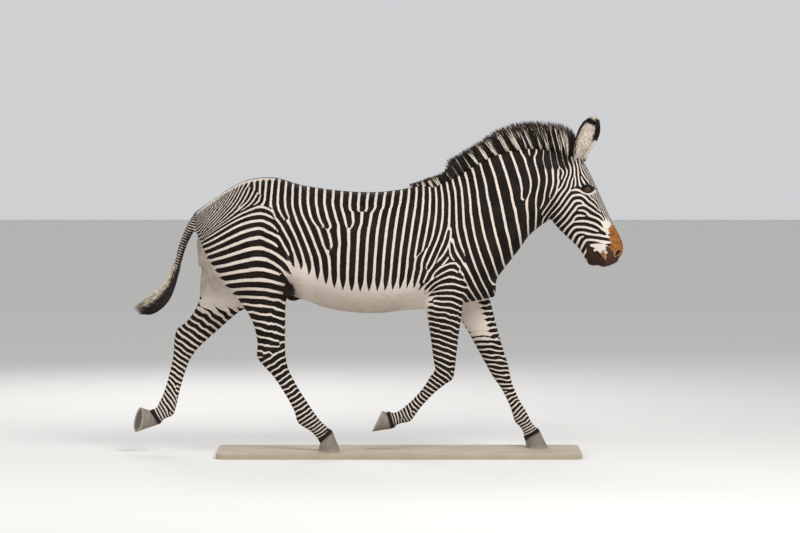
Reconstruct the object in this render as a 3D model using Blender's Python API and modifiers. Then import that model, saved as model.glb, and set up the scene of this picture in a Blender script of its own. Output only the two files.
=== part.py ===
"""Grevy's zebra stallion at the trot, a still life-size display model on a plain flat base.

Metres. It faces +X, its right side is at -Y and +Z is up. The origin is under the middle of the whole
model, on the underside of the base. Until `centre_on_origin`, Z is measured from the top of the base.

The flesh, the mane and the tail are lofts through cross-sections. They are joined into one skin, which
thin cuts then part into the pieces that a person would name. Hooves, ears and eyes are solids of their own.
"""

from math import cos, pi, radians, sin

import bmesh
import bpy
import numpy as np
from mathutils import Matrix, Vector

MODEL = "zebra"
GAP = 0.0004  # left between pieces that meet

# The two sides of the body
RIGHT, LEFT = -1, 1

# Joints of each leg as (x, z), and how far out from the middle they lie
HIP = (-0.745, 1.235)
STIFLE = {RIGHT: (-0.585, 0.895), LEFT: (-0.765, 0.865)}
HOCK = {RIGHT: (-0.574, 0.517), LEFT: (-1.055, 0.590)}
HIND_FETLOCK = {RIGHT: (-0.386, 0.191), LEFT: (-1.160, 0.216)}
HIND_CORONET = {RIGHT: (-0.279, 0.079), LEFT: (-1.228, 0.170)}
SHOULDER = {RIGHT: (0.400, 1.080), LEFT: (0.440, 1.060)}
ELBOW = {RIGHT: (0.362, 0.830), LEFT: (0.505, 0.830)}
KNEE = {RIGHT: (0.370, 0.430), LEFT: (0.668, 0.450)}
FORE_FETLOCK = {RIGHT: (0.163, 0.196), LEFT: (0.800, 0.168)}
FORE_CORONET = {RIGHT: (0.070, 0.167), LEFT: (0.859, 0.073)}
HIP_OUT, HOCK_OUT, HIND_FOOT_OUT = 0.145, 0.125, 0.105
SHOULDER_OUT, KNEE_OUT, FORE_FOOT_OUT = 0.125, 0.115, 0.100

# Depth of a leg in front of and behind its bones, its width, and what the stretched thigh of the
# trailing leg has more behind, as (segment of the leg, how far along it, front, back, width, stretch)
TRAILING = ("hind", LEFT)
HIND_PROFILE = (
    (0, 0.00, 0.215, 0.235, 0.205, 0.000),
    (0, 0.35, 0.205, 0.250, 0.235, 0.000),
    (0, 0.70, 0.155, 0.240, 0.225, 0.012),
    (1, 0.00, 0.112, 0.205, 0.185, 0.044),
    (1, 0.25, 0.088, 0.145, 0.145, 0.038),
    (1, 0.50, 0.082, 0.102, 0.118, 0.012),
    (1, 0.75, 0.078, 0.082, 0.098, 0.000),
    (1, 0.95, 0.078, 0.086, 0.090, 0.000),
    (2, 0.10, 0.066, 0.066, 0.086, 0.000),
    (2, 0.28, 0.048, 0.050, 0.062, 0.000),
    (2, 0.60, 0.043, 0.044, 0.050, 0.000),
    (2, 0.84, 0.047, 0.048, 0.056, 0.000),
    (3, 0.00, 0.050, 0.062, 0.070, 0.000),
    (3, 0.50, 0.042, 0.044, 0.062, 0.000),
    (3, 1.00, 0.048, 0.046, 0.082, 0.000),
)
FORE_PROFILE = (
    (0, 0.00, 0.110, 0.110, 0.130, 0.000),
    (0, 0.50, 0.130, 0.125, 0.165, 0.000),
    (1, 0.00, 0.116, 0.106, 0.160, 0.000),
    (1, 0.22, 0.104, 0.092, 0.140, 0.000),
    (1, 0.45, 0.088, 0.078, 0.118, 0.000),
    (1, 0.70, 0.074, 0.068, 0.098, 0.000),
    (1, 0.90, 0.064, 0.060, 0.090, 0.000),
    (2, 0.02, 0.060, 0.056, 0.090, 0.000),
    (2, 0.18, 0.048, 0.050, 0.074, 0.000),
    (2, 0.40, 0.035, 0.038, 0.054, 0.000),
    (2, 0.70, 0.033, 0.036, 0.048, 0.000),
    (2, 0.90, 0.039, 0.043, 0.056, 0.000),
    (3, 0.00, 0.041, 0.048, 0.066, 0.000),
    (3, 0.50, 0.036, 0.038, 0.058, 0.000),
    (3, 1.00, 0.047, 0.050, 0.082, 0.000),
)

# Trunk, neck, head and tail sections as (top x, top z, bottom x, bottom z, width, how much wider
# the bottom is than the top)
TRUNK = (
    (-0.985, 1.318, -0.970, 1.140, 0.140, 0.00),  # buttocks
    (-0.945, 1.352, -0.945, 1.060, 0.270, 0.05),
    (-0.890, 1.388, -0.890, 0.990, 0.360, 0.10),
    (-0.810, 1.443, -0.810, 0.930, 0.440, 0.16),
    (-0.700, 1.492, -0.700, 0.890, 0.490, 0.16),
    (-0.560, 1.502, -0.560, 0.868, 0.520, 0.14),  # croup
    (-0.425, 1.464, -0.425, 0.832, 0.540, 0.12),  # flank
    (-0.285, 1.440, -0.285, 0.782, 0.570, 0.12),
    (-0.150, 1.426, -0.150, 0.757, 0.580, 0.12),  # barrel
    (-0.010, 1.422, -0.010, 0.750, 0.560, 0.14),
    (0.125, 1.436, 0.125, 0.762, 0.510, 0.20),  # girth
    (0.265, 1.458, 0.280, 0.775, 0.440, 0.28),  # withers
    (0.400, 1.400, 0.440, 0.800, 0.380, 0.24),
    (0.510, 1.240, 0.560, 0.818, 0.320, 0.10),
    (0.618, 1.080, 0.632, 0.838, 0.240, 0.00),  # breast
)
NECK = (
    (0.235, 1.420, 0.510, 0.845, 0.320, 0.30),
    (0.330, 1.462, 0.618, 0.886, 0.345, 0.34),
    (0.425, 1.505, 0.680, 0.966, 0.330, 0.36),
    (0.505, 1.552, 0.737, 1.040, 0.295, 0.36),
    (0.590, 1.603, 0.787, 1.104, 0.265, 0.34),
    (0.680, 1.640, 0.830, 1.166, 0.240, 0.32),
    (0.775, 1.662, 0.878, 1.212, 0.220, 0.30),
    (0.870, 1.664, 0.925, 1.246, 0.205, 0.26),
    (0.955, 1.650, 0.968, 1.282, 0.190, 0.20),
    (1.030, 1.622, 1.010, 1.340, 0.175, 0.10),
)
HEAD = (
    (1.095, 1.622, 0.985, 1.500, 0.155, -0.05),  # poll
    (1.142, 1.580, 0.955, 1.425, 0.190, -0.10),
    (1.178, 1.515, 0.935, 1.352, 0.205, -0.16),
    (1.207, 1.455, 0.945, 1.285, 0.200, -0.20),  # eyes and jaw
    (1.240, 1.382, 0.990, 1.222, 0.172, -0.16),
    (1.272, 1.312, 1.050, 1.163, 0.142, -0.06),
    (1.304, 1.246, 1.098, 1.118, 0.124, 0.02),
    (1.334, 1.190, 1.128, 1.078, 0.120, 0.04),
    (1.355, 1.140, 1.150, 1.040, 0.126, 0.00),  # nostrils and mouth
    (1.355, 1.090, 1.180, 1.018, 0.124, 0.00),
    (1.332, 1.050, 1.225, 1.012, 0.100, 0.00),
)
TAIL = (
    (-0.940, 1.345, -0.925, 1.240, 0.085, 0.00),
    (-0.992, 1.318, -0.962, 1.232, 0.072, 0.00),
    (-1.032, 1.264, -0.990, 1.212, 0.062, 0.00),
    (-1.066, 1.196, -1.022, 1.168, 0.056, 0.00),
    (-1.094, 1.120, -1.050, 1.104, 0.050, 0.00),
    (-1.114, 1.040, -1.073, 1.026, 0.046, 0.00),
    (-1.136, 0.978, -1.094, 0.958, 0.046, 0.00),
    (-1.166, 0.930, -1.112, 0.892, 0.050, 0.00),
    (-1.205, 0.890, -1.140, 0.828, 0.056, 0.00),
    (-1.250, 0.852, -1.184, 0.776, 0.060, 0.00),
    (-1.298, 0.816, -1.240, 0.744, 0.056, 0.00),
    (-1.352, 0.782, -1.316, 0.742, 0.036, 0.00),
)
# The upright mane: (x, height of the hair tips, height of the crest below it)
MANE = (
    (0.200, 1.470, 1.430),
    (0.290, 1.502, 1.440),
    (0.380, 1.540, 1.470),
    (0.455, 1.628, 1.515),
    (0.565, 1.698, 1.575),
    (0.675, 1.768, 1.625),
    (0.785, 1.806, 1.650),
    (0.895, 1.812, 1.650),
    (1.005, 1.800, 1.635),
    (1.070, 1.768, 1.610),
    (1.100, 1.716, 1.600),
)
MANE_ROOT, MANE_TIP = 0.052, 0.022  # thickness of the mane at the crest and at the tips

# Muscles that stand out and hollows between them, seen from the side:
# (x, z, reach along, reach across, lean towards the front in degrees, how far out)
MUSCLES = (
    (-0.790, 1.220, 0.150, 0.170, 0, 0.018),  # haunch
    (-0.620, 1.370, 0.065, 0.045, -20, 0.010),  # point of the hip
    (-0.480, 1.130, 0.060, 0.130, 10, -0.016),  # hollow of the flank
    (-0.560, 0.930, 0.060, 0.075, 0, 0.010),  # stifle
    (-0.900, 1.020, 0.050, 0.120, 10, 0.008),  # hamstring
    (0.370, 1.190, 0.085, 0.190, 24, 0.014),  # shoulder blade
    (0.215, 1.230, 0.050, 0.150, 15, -0.010),  # hollow behind the shoulder
    (0.300, 0.960, 0.100, 0.090, 0, 0.016),  # forearm's upper muscle
    (0.550, 1.020, 0.060, 0.070, 0, 0.012),  # point of the shoulder
    (0.500, 1.250, 0.040, 0.150, 32, -0.008),  # groove before the shoulder
    (1.055, 1.345, 0.070, 0.065, 0, 0.010),  # cheek
    (1.156, 1.480, 0.028, 0.016, -20, 0.009),  # brow
    (1.105, 1.520, 0.025, 0.020, 0, -0.006),  # hollow above the eye
    (1.225, 1.235, 0.030, 0.070, -25, -0.006),  # side of the nose
    (1.325, 1.095, 0.028, 0.024, 0, 0.006),  # nostril
)
CHIN = ((1.200, 0.0, 1.046), (0.048, 0.040, 0.034), -15)
SHEATH = ((-0.452, 0.0, 0.868), (0.062, 0.040, 0.052), -20)

# The head is turned a little towards its right side
HEAD_TURN = radians(-8)
TURN_AXIS_X = 1.04
TURN_START_X, TURN_END_X = 0.78, 1.10

EYE_CENTRE, EYE_RADIUS = (1.162, 0.0640, 1.440), 0.0235

# An ear as a curled leaf: centre line of its back as (x, out from the middle, z), with its width there
# and how far it is rolled, in degrees to each side
EAR = (
    (1.104, 0.062, 1.585, 0.050, 105),
    (1.108, 0.068, 1.625, 0.062, 100),
    (1.118, 0.076, 1.670, 0.088, 85),
    (1.136, 0.085, 1.715, 0.112, 72),
    (1.154, 0.093, 1.757, 0.118, 64),
    (1.172, 0.100, 1.795, 0.098, 58),
    (1.186, 0.105, 1.820, 0.060, 52),
    (1.195, 0.107, 1.836, 0.018, 45),
)
EAR_FACING = radians(58)  # how far each ear opens outwards from straight ahead
EAR_WALL = 0.007

HOOF_WIDTH = 0.098  # at the sole
# The ground ends of each hoof as (toe x, toe z, heel x, heel z), and how far its sole is turned, in degrees
SOLES = {
    ("hind", RIGHT): (-0.200, 0.0, -0.322, 0.0, 0),
    ("fore", LEFT): (0.946, 0.0, 0.826, 0.0, 0),
    ("fore", RIGHT): (-0.026, 0.106, 0.030, 0.221, 0),
    ("hind", LEFT): (-1.334, 0.086, -1.306, 0.224, -28),
}

BASE_LENGTH, BASE_WIDTH, BASE_THICKNESS = 2.00, 0.60, 0.030
BASE_MIDDLE_X = 0.12
BASE_CORNER, BASE_EDGE = 0.060, 0.006

# Thin cuts that part the skin, as lines in the side view
CREST_CUT = (
    (0.100, 1.462),
    (0.200, 1.462),
    (0.265, 1.472),
    (0.330, 1.479),
    (0.380, 1.497),
    (0.425, 1.518),
    (0.505, 1.564),
    (0.590, 1.614),
    (0.680, 1.651),
    (0.775, 1.673),
    (0.870, 1.675),
    (0.955, 1.662),
    (1.030, 1.644),
    (1.095, 1.636),
    (1.150, 1.640),
)
NECK_CUT = ((0.300, 1.477), (0.735, 0.830))
HEAD_CUT = ((1.045, 1.643), (0.895, 1.180))
TAIL_CUT = ((-1.110, 1.222), (-1.003, 1.156))
TUFT_CUT = ((-1.190, 0.982), (-1.070, 0.900))
BODY_CUTS = (NECK_CUT, HEAD_CUT, TAIL_CUT, TUFT_CUT)
TOP_CUTS = {
    ("fore", RIGHT): ((0.200, 0.748), (0.540, 0.748)),
    ("fore", LEFT): ((0.420, 0.748), (0.720, 0.748)),
    ("hind", RIGHT): ((-0.880, 0.800), (-0.380, 0.800)),
    ("hind", LEFT): ((-1.060, 0.800), (-0.640, 0.800)),
}
TOP_CUT_INNER, TOP_CUT_OUTER = 0.004, 0.320
WIDE_CUT, MANE_CUT_HALF_WIDTH, LEG_CUT_HALF_WIDTH = 0.400, 0.120, 0.100
KNEE_CUT_ALONG, KNEE_CUT_REACH = 0.14, 0.130

# About where the middle of each piece lies
BODY_PLACES = {
    "trunk": (-0.20, 0.0, 1.15),
    "neck": (0.68, 0.0, 1.28),
    "head": (1.13, 0.0, 1.33),
    "mane": (0.66, 0.0, 1.64),
    "tail_dock": (-1.09, 0.0, 1.07),
    "tail_tuft": (-1.22, 0.0, 0.84),
}

HOOF_LEVELS = (0.0, 0.12, 0.55, 1.0)
HOOF_POINTS, HOOF_LIP, HOOF_SPREAD, HOOF_BLOCK = 20, 0.004, -0.10, 0.110
EAR_STEPS, EAR_POINTS = 1, 11

BODY_END_X, BODY_START_X, BODY_LOW_Z, BODY_FADE = 0.90, -1.02, 0.80, 0.12

RING_POINTS = 28
VOXEL = 0.0085
SKIN_TRIANGLES = 4900

COLOURS = {
    "coat": (0.55, 0.50, 0.43, 1.0),
    "hair": (0.10, 0.07, 0.05, 1.0),
    "horn": (0.30, 0.26, 0.21, 1.0),
    "eye": (0.02, 0.012, 0.008, 1.0),
    "base": (0.62, 0.54, 0.42, 1.0),
}
ROUGHNESS = {"coat": 0.8, "hair": 0.85, "horn": 0.6, "eye": 0.08, "base": 0.7}


def fresh_collection(name):
    collection = bpy.data.collections.new(name)
    bpy.context.scene.collection.children.link(collection)
    return collection


def clear_scene():
    for obj in list(bpy.data.objects):
        bpy.data.objects.remove(obj, do_unlink=True)


def material(kind, name):
    """A Principled BSDF of its own for one piece."""
    made = bpy.data.materials.new(f"{kind}_{name}")
    made.use_nodes = True
    shader = made.node_tree.nodes["Principled BSDF"]
    shader.inputs["Base Color"].default_value = COLOURS[kind]
    shader.inputs["Roughness"].default_value = ROUGHNESS[kind]
    shader.inputs["Metallic"].default_value = 0.0
    made.diffuse_color = COLOURS[kind]
    return made


def object_from(name, vertices, faces, collection):
    mesh = bpy.data.meshes.new(name)
    mesh.from_pydata([tuple(map(float, v)) for v in vertices], [], faces)
    mesh.update()
    obj = bpy.data.objects.new(name, mesh)
    collection.objects.link(obj)
    return obj


def smooth_between(rows, steps):
    """Rows of numbers joined by smooth curves, each span in `steps` parts."""
    rows = np.asarray(rows, float)
    slope = np.gradient(rows, axis=0)
    out = []
    for i in range(len(rows) - 1):
        for t in np.linspace(0, 1, steps, endpoint=False):
            a = 2 * t**3 - 3 * t**2 + 1
            b = t**3 - 2 * t**2 + t
            c = -2 * t**3 + 3 * t**2
            d = t**3 - t**2
            out.append(a * rows[i] + b * slope[i] + c * rows[i + 1] + d * slope[i + 1])
    out.append(rows[-1])
    return np.array(out)


def ring(row, points=RING_POINTS, squareness=0.86):
    """One cross-section: an oval from its top or front to its bottom or back, wider at one end."""
    top_x, top_z, low_x, low_z, y, width, spread, turn = row
    middle = np.array([(top_x + low_x) / 2, y, (top_z + low_z) / 2])
    up = np.array([(top_x - low_x) / 2, 0, (top_z - low_z) / 2])
    side = np.array([sin(radians(turn)), cos(radians(turn)), 0]) * width / 2
    angle = np.linspace(0, 2 * pi, points, endpoint=False)
    u = np.sign(np.cos(angle)) * np.abs(np.cos(angle)) ** squareness
    v = np.sign(np.sin(angle)) * np.abs(np.sin(angle)) ** squareness
    return middle + np.outer(u, up) + np.outer(v * (1 - spread * u), side)


def dome(edge, outward, rings=3):
    """Rings that close an end with a low round cap, the nearest to the edge first."""
    middle = edge.mean(axis=0)
    return [
        middle + (edge - middle) * cos(step) + outward * sin(step)
        for step in np.linspace(0, pi / 2, rings + 2)[1:-1]
    ]


def loft(name, rows, collection, steps=5, round_ends=0.35):
    """A closed skin through cross-sections, with domed ends."""
    rings = [ring(row) for row in smooth_between(rows, steps)]
    centres = [r.mean(axis=0) for r in rings]
    spans = [np.ptp(r, axis=0).max() / 2 for r in (rings[0], rings[-1])]
    back = centres[0] - centres[1]
    ahead = centres[-1] - centres[-2]
    back *= round_ends * spans[0] / np.linalg.norm(back)
    ahead *= round_ends * spans[1] / np.linalg.norm(ahead)
    rings = dome(rings[0], back)[::-1] + rings + dome(rings[-1], ahead)
    count = len(rings[0])
    vertices = np.concatenate(rings)
    faces = []
    for i in range(len(rings) - 1):
        for j in range(count):
            k = (j + 1) % count
            faces.append((i * count + j, i * count + k, (i + 1) * count + k, (i + 1) * count + j))
    last = (len(rings) - 1) * count
    faces.append(tuple(range(count))[::-1])
    faces.append(tuple(range(last, last + count)))
    obj = object_from(name, vertices, faces, collection)
    face_outwards(obj)
    return obj


def face_outwards(obj):
    shape = bmesh.new()
    shape.from_mesh(obj.data)
    bmesh.ops.recalc_face_normals(shape, faces=shape.faces)
    shape.to_mesh(obj.data)
    shape.free()


def plain_rows(table, y=0.0):
    """Sections of the trunk, neck, head or tail in the form that `ring` takes."""
    return [(tx, tz, bx, bz, y, width, spread, 0) for tx, tz, bx, bz, width, spread in table]


def leg_rows(kind, side):
    """Cross-sections of one leg along its bones, square to them between the joints."""
    joints, outs, profile = leg_joints(kind, side)
    joints = [np.array(j) for j in joints]
    bones = [b - a for a, b in zip(joints, joints[1:])]
    bones = [b / np.linalg.norm(b) for b in bones]
    rows = []
    for segment, along, front, back, width, stretch in profile:
        point = joints[segment] + (joints[segment + 1] - joints[segment]) * along
        out = outs[segment] + (outs[segment + 1] - outs[segment]) * along
        before = bones[max(segment - 1, 0)]
        after = bones[min(segment + 1, len(bones) - 1)]
        lean = bones[segment] + before * max(0.5 - along, 0) + after * max(along - 0.5, 0)
        lean /= np.linalg.norm(lean)
        across = np.array([-lean[1], lean[0]])
        top = point + across * front
        low = point - across * (back + stretch * ((kind, side) == TRAILING))
        rows.append((*top, *low, side * out, width, 0.0, 0))
    return rows


def leg_joints(kind, side):
    """The joints of a leg from the top, how far out each of them is, and the leg's profile."""
    if kind == "hind":
        joints = (HIP, STIFLE[side], HOCK[side], HIND_FETLOCK[side], HIND_CORONET[side])
        return joints, (HIP_OUT, HIP_OUT, HOCK_OUT, HIND_FOOT_OUT, HIND_FOOT_OUT), HIND_PROFILE
    joints = (SHOULDER[side], ELBOW[side], KNEE[side], FORE_FETLOCK[side], FORE_CORONET[side])
    return joints, (SHOULDER_OUT, SHOULDER_OUT, KNEE_OUT, FORE_FOOT_OUT, FORE_FOOT_OUT), FORE_PROFILE


def leg_form_rows(kind, side):
    """A leg's cross-sections, with one more inside the hoof that the coronet cut takes off."""
    rows = leg_rows(kind, side)
    inside = np.array(rows[-1]) * 2 - np.array(rows[-2])
    inside[5] = rows[-1][5]
    return [*rows, tuple(inside)]


def swelling(name, centre, half, lean, collection):
    """An ellipsoid of muscle or bone."""
    bpy.ops.mesh.primitive_uv_sphere_add(segments=24, ring_count=16, radius=1.0)
    obj = bpy.context.object
    obj.name = name
    place = Matrix.Translation(centre) @ Matrix.Rotation(radians(lean), 4, "Y")
    obj.data.transform(place @ Matrix.Diagonal((*half, 1.0)))
    for holder in obj.users_collection:
        holder.objects.unlink(obj)
    collection.objects.link(obj)
    return obj


def turn_head(point):
    """Where a point of the head or upper neck goes as the head turns aside."""
    share = min(max((point[0] - TURN_START_X) / (TURN_END_X - TURN_START_X), 0.0), 1.0)
    angle = HEAD_TURN * share * share * (3 - 2 * share)
    x, y = point[0] - TURN_AXIS_X, point[1]
    return Vector((
        TURN_AXIS_X + x * cos(angle) - y * sin(angle),
        x * sin(angle) + y * cos(angle),
        point[2],
    ))


def turned(obj):
    for vertex in obj.data.vertices:
        vertex.co = turn_head(vertex.co)
    return obj


def mane_rows():
    """The mane as upright sections, thin at the tips."""
    spread = (MANE_ROOT - MANE_TIP) / (MANE_ROOT + MANE_TIP)
    width = (MANE_ROOT + MANE_TIP) / 2
    rows = []
    for x, tips, crest in MANE:
        low = crest - 0.030
        rows.append((x - 0.01, tips, x + 0.01, low, 0.0, width, spread, 0))
    return rows


def body_lofts(collection):
    """Every solid that is joined into the one skin."""
    pieces = [loft("trunk_form", plain_rows(TRUNK), collection)]
    pieces.append(turned(loft("neck_form", plain_rows(NECK), collection)))
    pieces.append(turned(loft("head_form", plain_rows(HEAD), collection)))
    pieces.append(turned(loft("mane_form", mane_rows(), collection, round_ends=0.1)))
    pieces.append(loft("tail_form", plain_rows(TAIL), collection))
    for side, word in ((RIGHT, "right"), (LEFT, "left")):
        for kind in ("fore", "hind"):
            pieces.append(loft(f"{kind}_{word}_form", leg_form_rows(kind, side), collection))
    for name, (centre, half, lean) in (("chin", CHIN), ("sheath", SHEATH)):
        pieces.append(turned(swelling(f"{name}_form", centre, half, lean, collection)))
    return pieces


def body_share(point):
    """How much of the body's softening a point takes: all on the trunk, none on the head, legs and tail."""
    x, y, z = point
    below_neck = min(max((BODY_END_X - x) / BODY_FADE, 0.0), 1.0)
    above_legs = min(max((z - BODY_LOW_Z) / BODY_FADE, 0.0), 1.0)
    before_tail = min(max((x - BODY_START_X) / BODY_FADE, 0.0), 1.0)
    return below_neck * above_legs * before_tail


def swell_muscles(skin):
    """Pushes the skin out over each muscle and in at each hollow, on both sides."""
    points = np.array([vertex.co for vertex in skin.data.vertices])
    normals = np.array([vertex.normal for vertex in skin.data.vertices])
    out = np.zeros(len(points))
    on_side = np.clip(np.abs(normals[:, 1]) * 1.5, 0, 1)
    for x, z, along, across, lean, amount in MUSCLES:
        dx, dz = points[:, 0] - x, points[:, 2] - z
        lean = radians(lean)
        u = (dx * cos(lean) - dz * sin(lean)) / along
        v = (dx * sin(lean) + dz * cos(lean)) / across
        out += amount * np.exp(-u * u - v * v) * on_side
    for vertex, normal, amount in zip(skin.data.vertices, normals, out):
        vertex.co += Vector(normal * amount)


def join_meshes(name, pieces, collection):
    """One object holding the meshes of several, which are removed."""
    joined = bmesh.new()
    for piece in pieces:
        joined.from_mesh(piece.data)
        bpy.data.objects.remove(piece, do_unlink=True)
    mesh = bpy.data.meshes.new(name)
    joined.to_mesh(mesh)
    joined.free()
    obj = bpy.data.objects.new(name, mesh)
    collection.objects.link(obj)
    return obj


def apply_modifiers(obj):
    graph = bpy.context.evaluated_depsgraph_get()
    mesh = bpy.data.meshes.new_from_object(obj.evaluated_get(graph))
    obj.modifiers.clear()
    obj.data = mesh
    return obj


def one_skin(collection):
    """The lofts joined into one closed, softened skin."""
    skin = join_meshes("skin", body_lofts(collection), collection)
    remesh = skin.modifiers.new("join", "REMESH")
    remesh.mode = "VOXEL"
    remesh.voxel_size = VOXEL
    apply_modifiers(skin)
    body = skin.vertex_groups.new(name="body")
    for vertex in skin.data.vertices:
        share = body_share(vertex.co)
        if share > 0:
            body.add([vertex.index], share, "REPLACE")
    for name, group, rounds in (("soften", "", 6), ("soften_body", "body", 40)):
        soften = skin.modifiers.new(name, "SMOOTH")
        soften.factor = 0.5
        soften.iterations = rounds
        soften.vertex_group = group
    apply_modifiers(skin)
    swell_muscles(skin)
    triangles = sum(len(face.vertices) - 2 for face in skin.data.polygons)
    thin = skin.modifiers.new("thin", "DECIMATE")
    thin.ratio = SKIN_TRIANGLES / triangles
    thin.use_collapse_triangulate = True
    return apply_modifiers(skin)


def slab(name, start, end, out, half_width):
    """A thin upright cutter: a plate along a line in the side view, `half_width` each way of y = `out`."""
    start, end = np.array(start), np.array(end)
    along = end - start
    across = np.array([-along[1], along[0]]) / np.linalg.norm(along) * GAP / 2
    corners = [start - across, end - across, end + across, start + across]
    vertices = [(x, out - half_width, z) for x, z in corners]
    vertices += [(x, out + half_width, z) for x, z in corners]
    faces = [(0, 1, 2, 3), (7, 6, 5, 4)]
    faces += [(i, i + 4, (i + 1) % 4 + 4, (i + 1) % 4) for i in range(4)]
    obj = object_from(name, vertices, faces, cutters)
    face_outwards(obj)
    as_cutter(obj)
    return obj


def as_cutter(obj):
    obj.hide_render = True
    obj.display_type = "WIRE"


def cut(obj, cutter, solver="EXACT"):
    modifier = obj.modifiers.new("cut", "BOOLEAN")
    modifier.operation = "DIFFERENCE"
    modifier.object = cutter
    modifier.solver = solver
    return apply_modifiers(obj)


def knee_cut(kind, side):
    """The thin plate that parts a leg just below its knee or hock, square to the bone."""
    joints, outs, _ = leg_joints(kind, side)
    start, end = np.array(joints[2]), np.array(joints[3])
    point = start + (end - start) * KNEE_CUT_ALONG
    bone = (end - start) / np.linalg.norm(end - start)
    across = np.array([-bone[1], bone[0]]) * KNEE_CUT_REACH
    name = f"below_{kind}_{side}"
    return slab(name, point - across, point + across, side * outs[2], LEG_CUT_HALF_WIDTH)


def mane_cutter():
    """A thin sheet that follows the crest of the neck, just above the skin."""
    low = [(x, z - GAP / 2) for x, z in CREST_CUT]
    high = [(x, z + GAP / 2) for x, z in CREST_CUT][::-1]
    outline = low + high
    count = len(outline)
    vertices = [(x, y, z) for y in (-MANE_CUT_HALF_WIDTH, MANE_CUT_HALF_WIDTH) for x, z in outline]
    faces = [tuple(range(count)), tuple(range(count, 2 * count))[::-1]]
    faces += [(i, (i + 1) % count, (i + 1) % count + count, i + count) for i in range(count)]
    obj = object_from("crest_cut", vertices, faces, cutters)
    face_outwards(obj)
    as_cutter(obj)
    return obj


def part_skin(skin):
    """Cuts the one skin into the trunk, neck, head, mane, tail and legs."""
    plates = [mane_cutter()]
    plates += [slab(f"cut_{i}", start, end, 0.0, WIDE_CUT) for i, (start, end) in enumerate(BODY_CUTS)]
    for kind in ("fore", "hind"):
        for side in (RIGHT, LEFT):
            start, end = TOP_CUTS[kind, side]
            middle = side * (TOP_CUT_INNER + TOP_CUT_OUTER) / 2
            half = (TOP_CUT_OUTER - TOP_CUT_INNER) / 2
            plates.append(slab(f"above_{kind}_{side}", start, end, middle, half))
            plates.append(knee_cut(kind, side))
    for plate in plates:
        cut(skin, plate)
    return loose_parts(skin)


def loose_parts(obj):
    """The separate closed bodies of a mesh, each as an object of its own."""
    bpy.ops.object.select_all(action="DESELECT")
    bpy.context.view_layer.objects.active = obj
    obj.select_set(True)
    bpy.ops.object.mode_set(mode="EDIT")
    bpy.ops.mesh.select_all(action="SELECT")
    bpy.ops.mesh.separate(type="LOOSE")
    bpy.ops.object.mode_set(mode="OBJECT")
    return list(bpy.context.selected_objects)


def middle_of(obj):
    points = np.array([v.co for v in obj.data.vertices])
    return (points.min(axis=0) + points.max(axis=0)) / 2


def piece_places():
    """Where the middle of each piece of the skin lies, by its name."""
    places = dict(BODY_PLACES)
    for side, word in ((RIGHT, "right"), (LEFT, "left")):
        for kind in ("fore", "hind"):
            joints, outs, _ = leg_joints(kind, side)
            upper = (np.array(joints[1]) + joints[2]) / 2
            lower = (np.array(joints[2]) + joints[3]) / 2
            places[f"{kind}leg_{word}_upper"] = (upper[0], side * outs[1], upper[1])
            places[f"{kind}leg_{word}_lower"] = (lower[0], side * outs[2], lower[1])
    return places


def name_pieces(pieces):
    named = {}
    for name, place in piece_places().items():
        nearest = min(pieces, key=lambda piece: np.linalg.norm(middle_of(piece) - place))
        pieces.remove(nearest)
        nearest.name = nearest.data.name = name
        named[name] = nearest
    return named


def coronet_rows(kind, side):
    """The cross-section at the top of a hoof, from the leg's own."""
    return leg_rows(kind, side)[-1]


def hoof(kind, side, name):
    """A hoof from the coronet to its flat sole, wider at the ground."""
    top = np.array(coronet_rows(kind, side))
    toe_x, toe_z, heel_x, heel_z, turn = SOLES[kind, side]
    sole = np.array([toe_x, toe_z + GAP, heel_x, heel_z + GAP, top[4], HOOF_WIDTH, HOOF_SPREAD, turn])
    down = (sole[:4] - top[:4]).reshape(2, 2).mean(axis=0)
    start = top.copy()
    start[:4] += np.tile(down / np.linalg.norm(down) * GAP, 2)
    start[5] += HOOF_LIP
    rows = [start + (sole - start) * t for t in HOOF_LEVELS]
    rings = [ring(row, HOOF_POINTS, squareness=1.0) for row in rows]
    count = len(rings[0])
    faces = []
    for i in range(len(rings) - 1):
        for j in range(count):
            k = (j + 1) % count
            faces.append((i * count + j, i * count + k, (i + 1) * count + k, (i + 1) * count + j))
    last = (len(rings) - 1) * count
    faces += [tuple(range(count))[::-1], tuple(range(last, last + count))]
    made = object_from(name, np.concatenate(rings), faces, model)
    face_outwards(made)
    return made


def coronet_cutter(kind, side):
    """A block that takes everything below the coronet off a leg."""
    row = coronet_rows(kind, side)
    front, back = np.array(row[:2]), np.array(row[2:4])
    middle = (front + back) / 2
    up = (front - back) / np.linalg.norm(front - back)
    down = np.array([up[1], -up[0]])
    toe_x, toe_z, heel_x, heel_z, _ = SOLES[kind, side]
    if np.dot(down, np.array([toe_x + heel_x, toe_z + heel_z]) / 2 - middle) < 0:
        down = -down
    near = [middle - up * HOOF_BLOCK, middle + up * HOOF_BLOCK]
    corners = near + [near[1] + down * HOOF_BLOCK, near[0] + down * HOOF_BLOCK]
    out = row[4]
    vertices = [(x, out + dy, z) for dy in (-HOOF_BLOCK, HOOF_BLOCK) for x, z in corners]
    faces = [(0, 1, 2, 3), (7, 6, 5, 4)]
    faces += [(i, i + 4, (i + 1) % 4 + 4, (i + 1) % 4) for i in range(4)]
    obj = object_from(f"coronet_{kind}_{side}", vertices, faces, cutters)
    face_outwards(obj)
    as_cutter(obj)
    return obj


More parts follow.
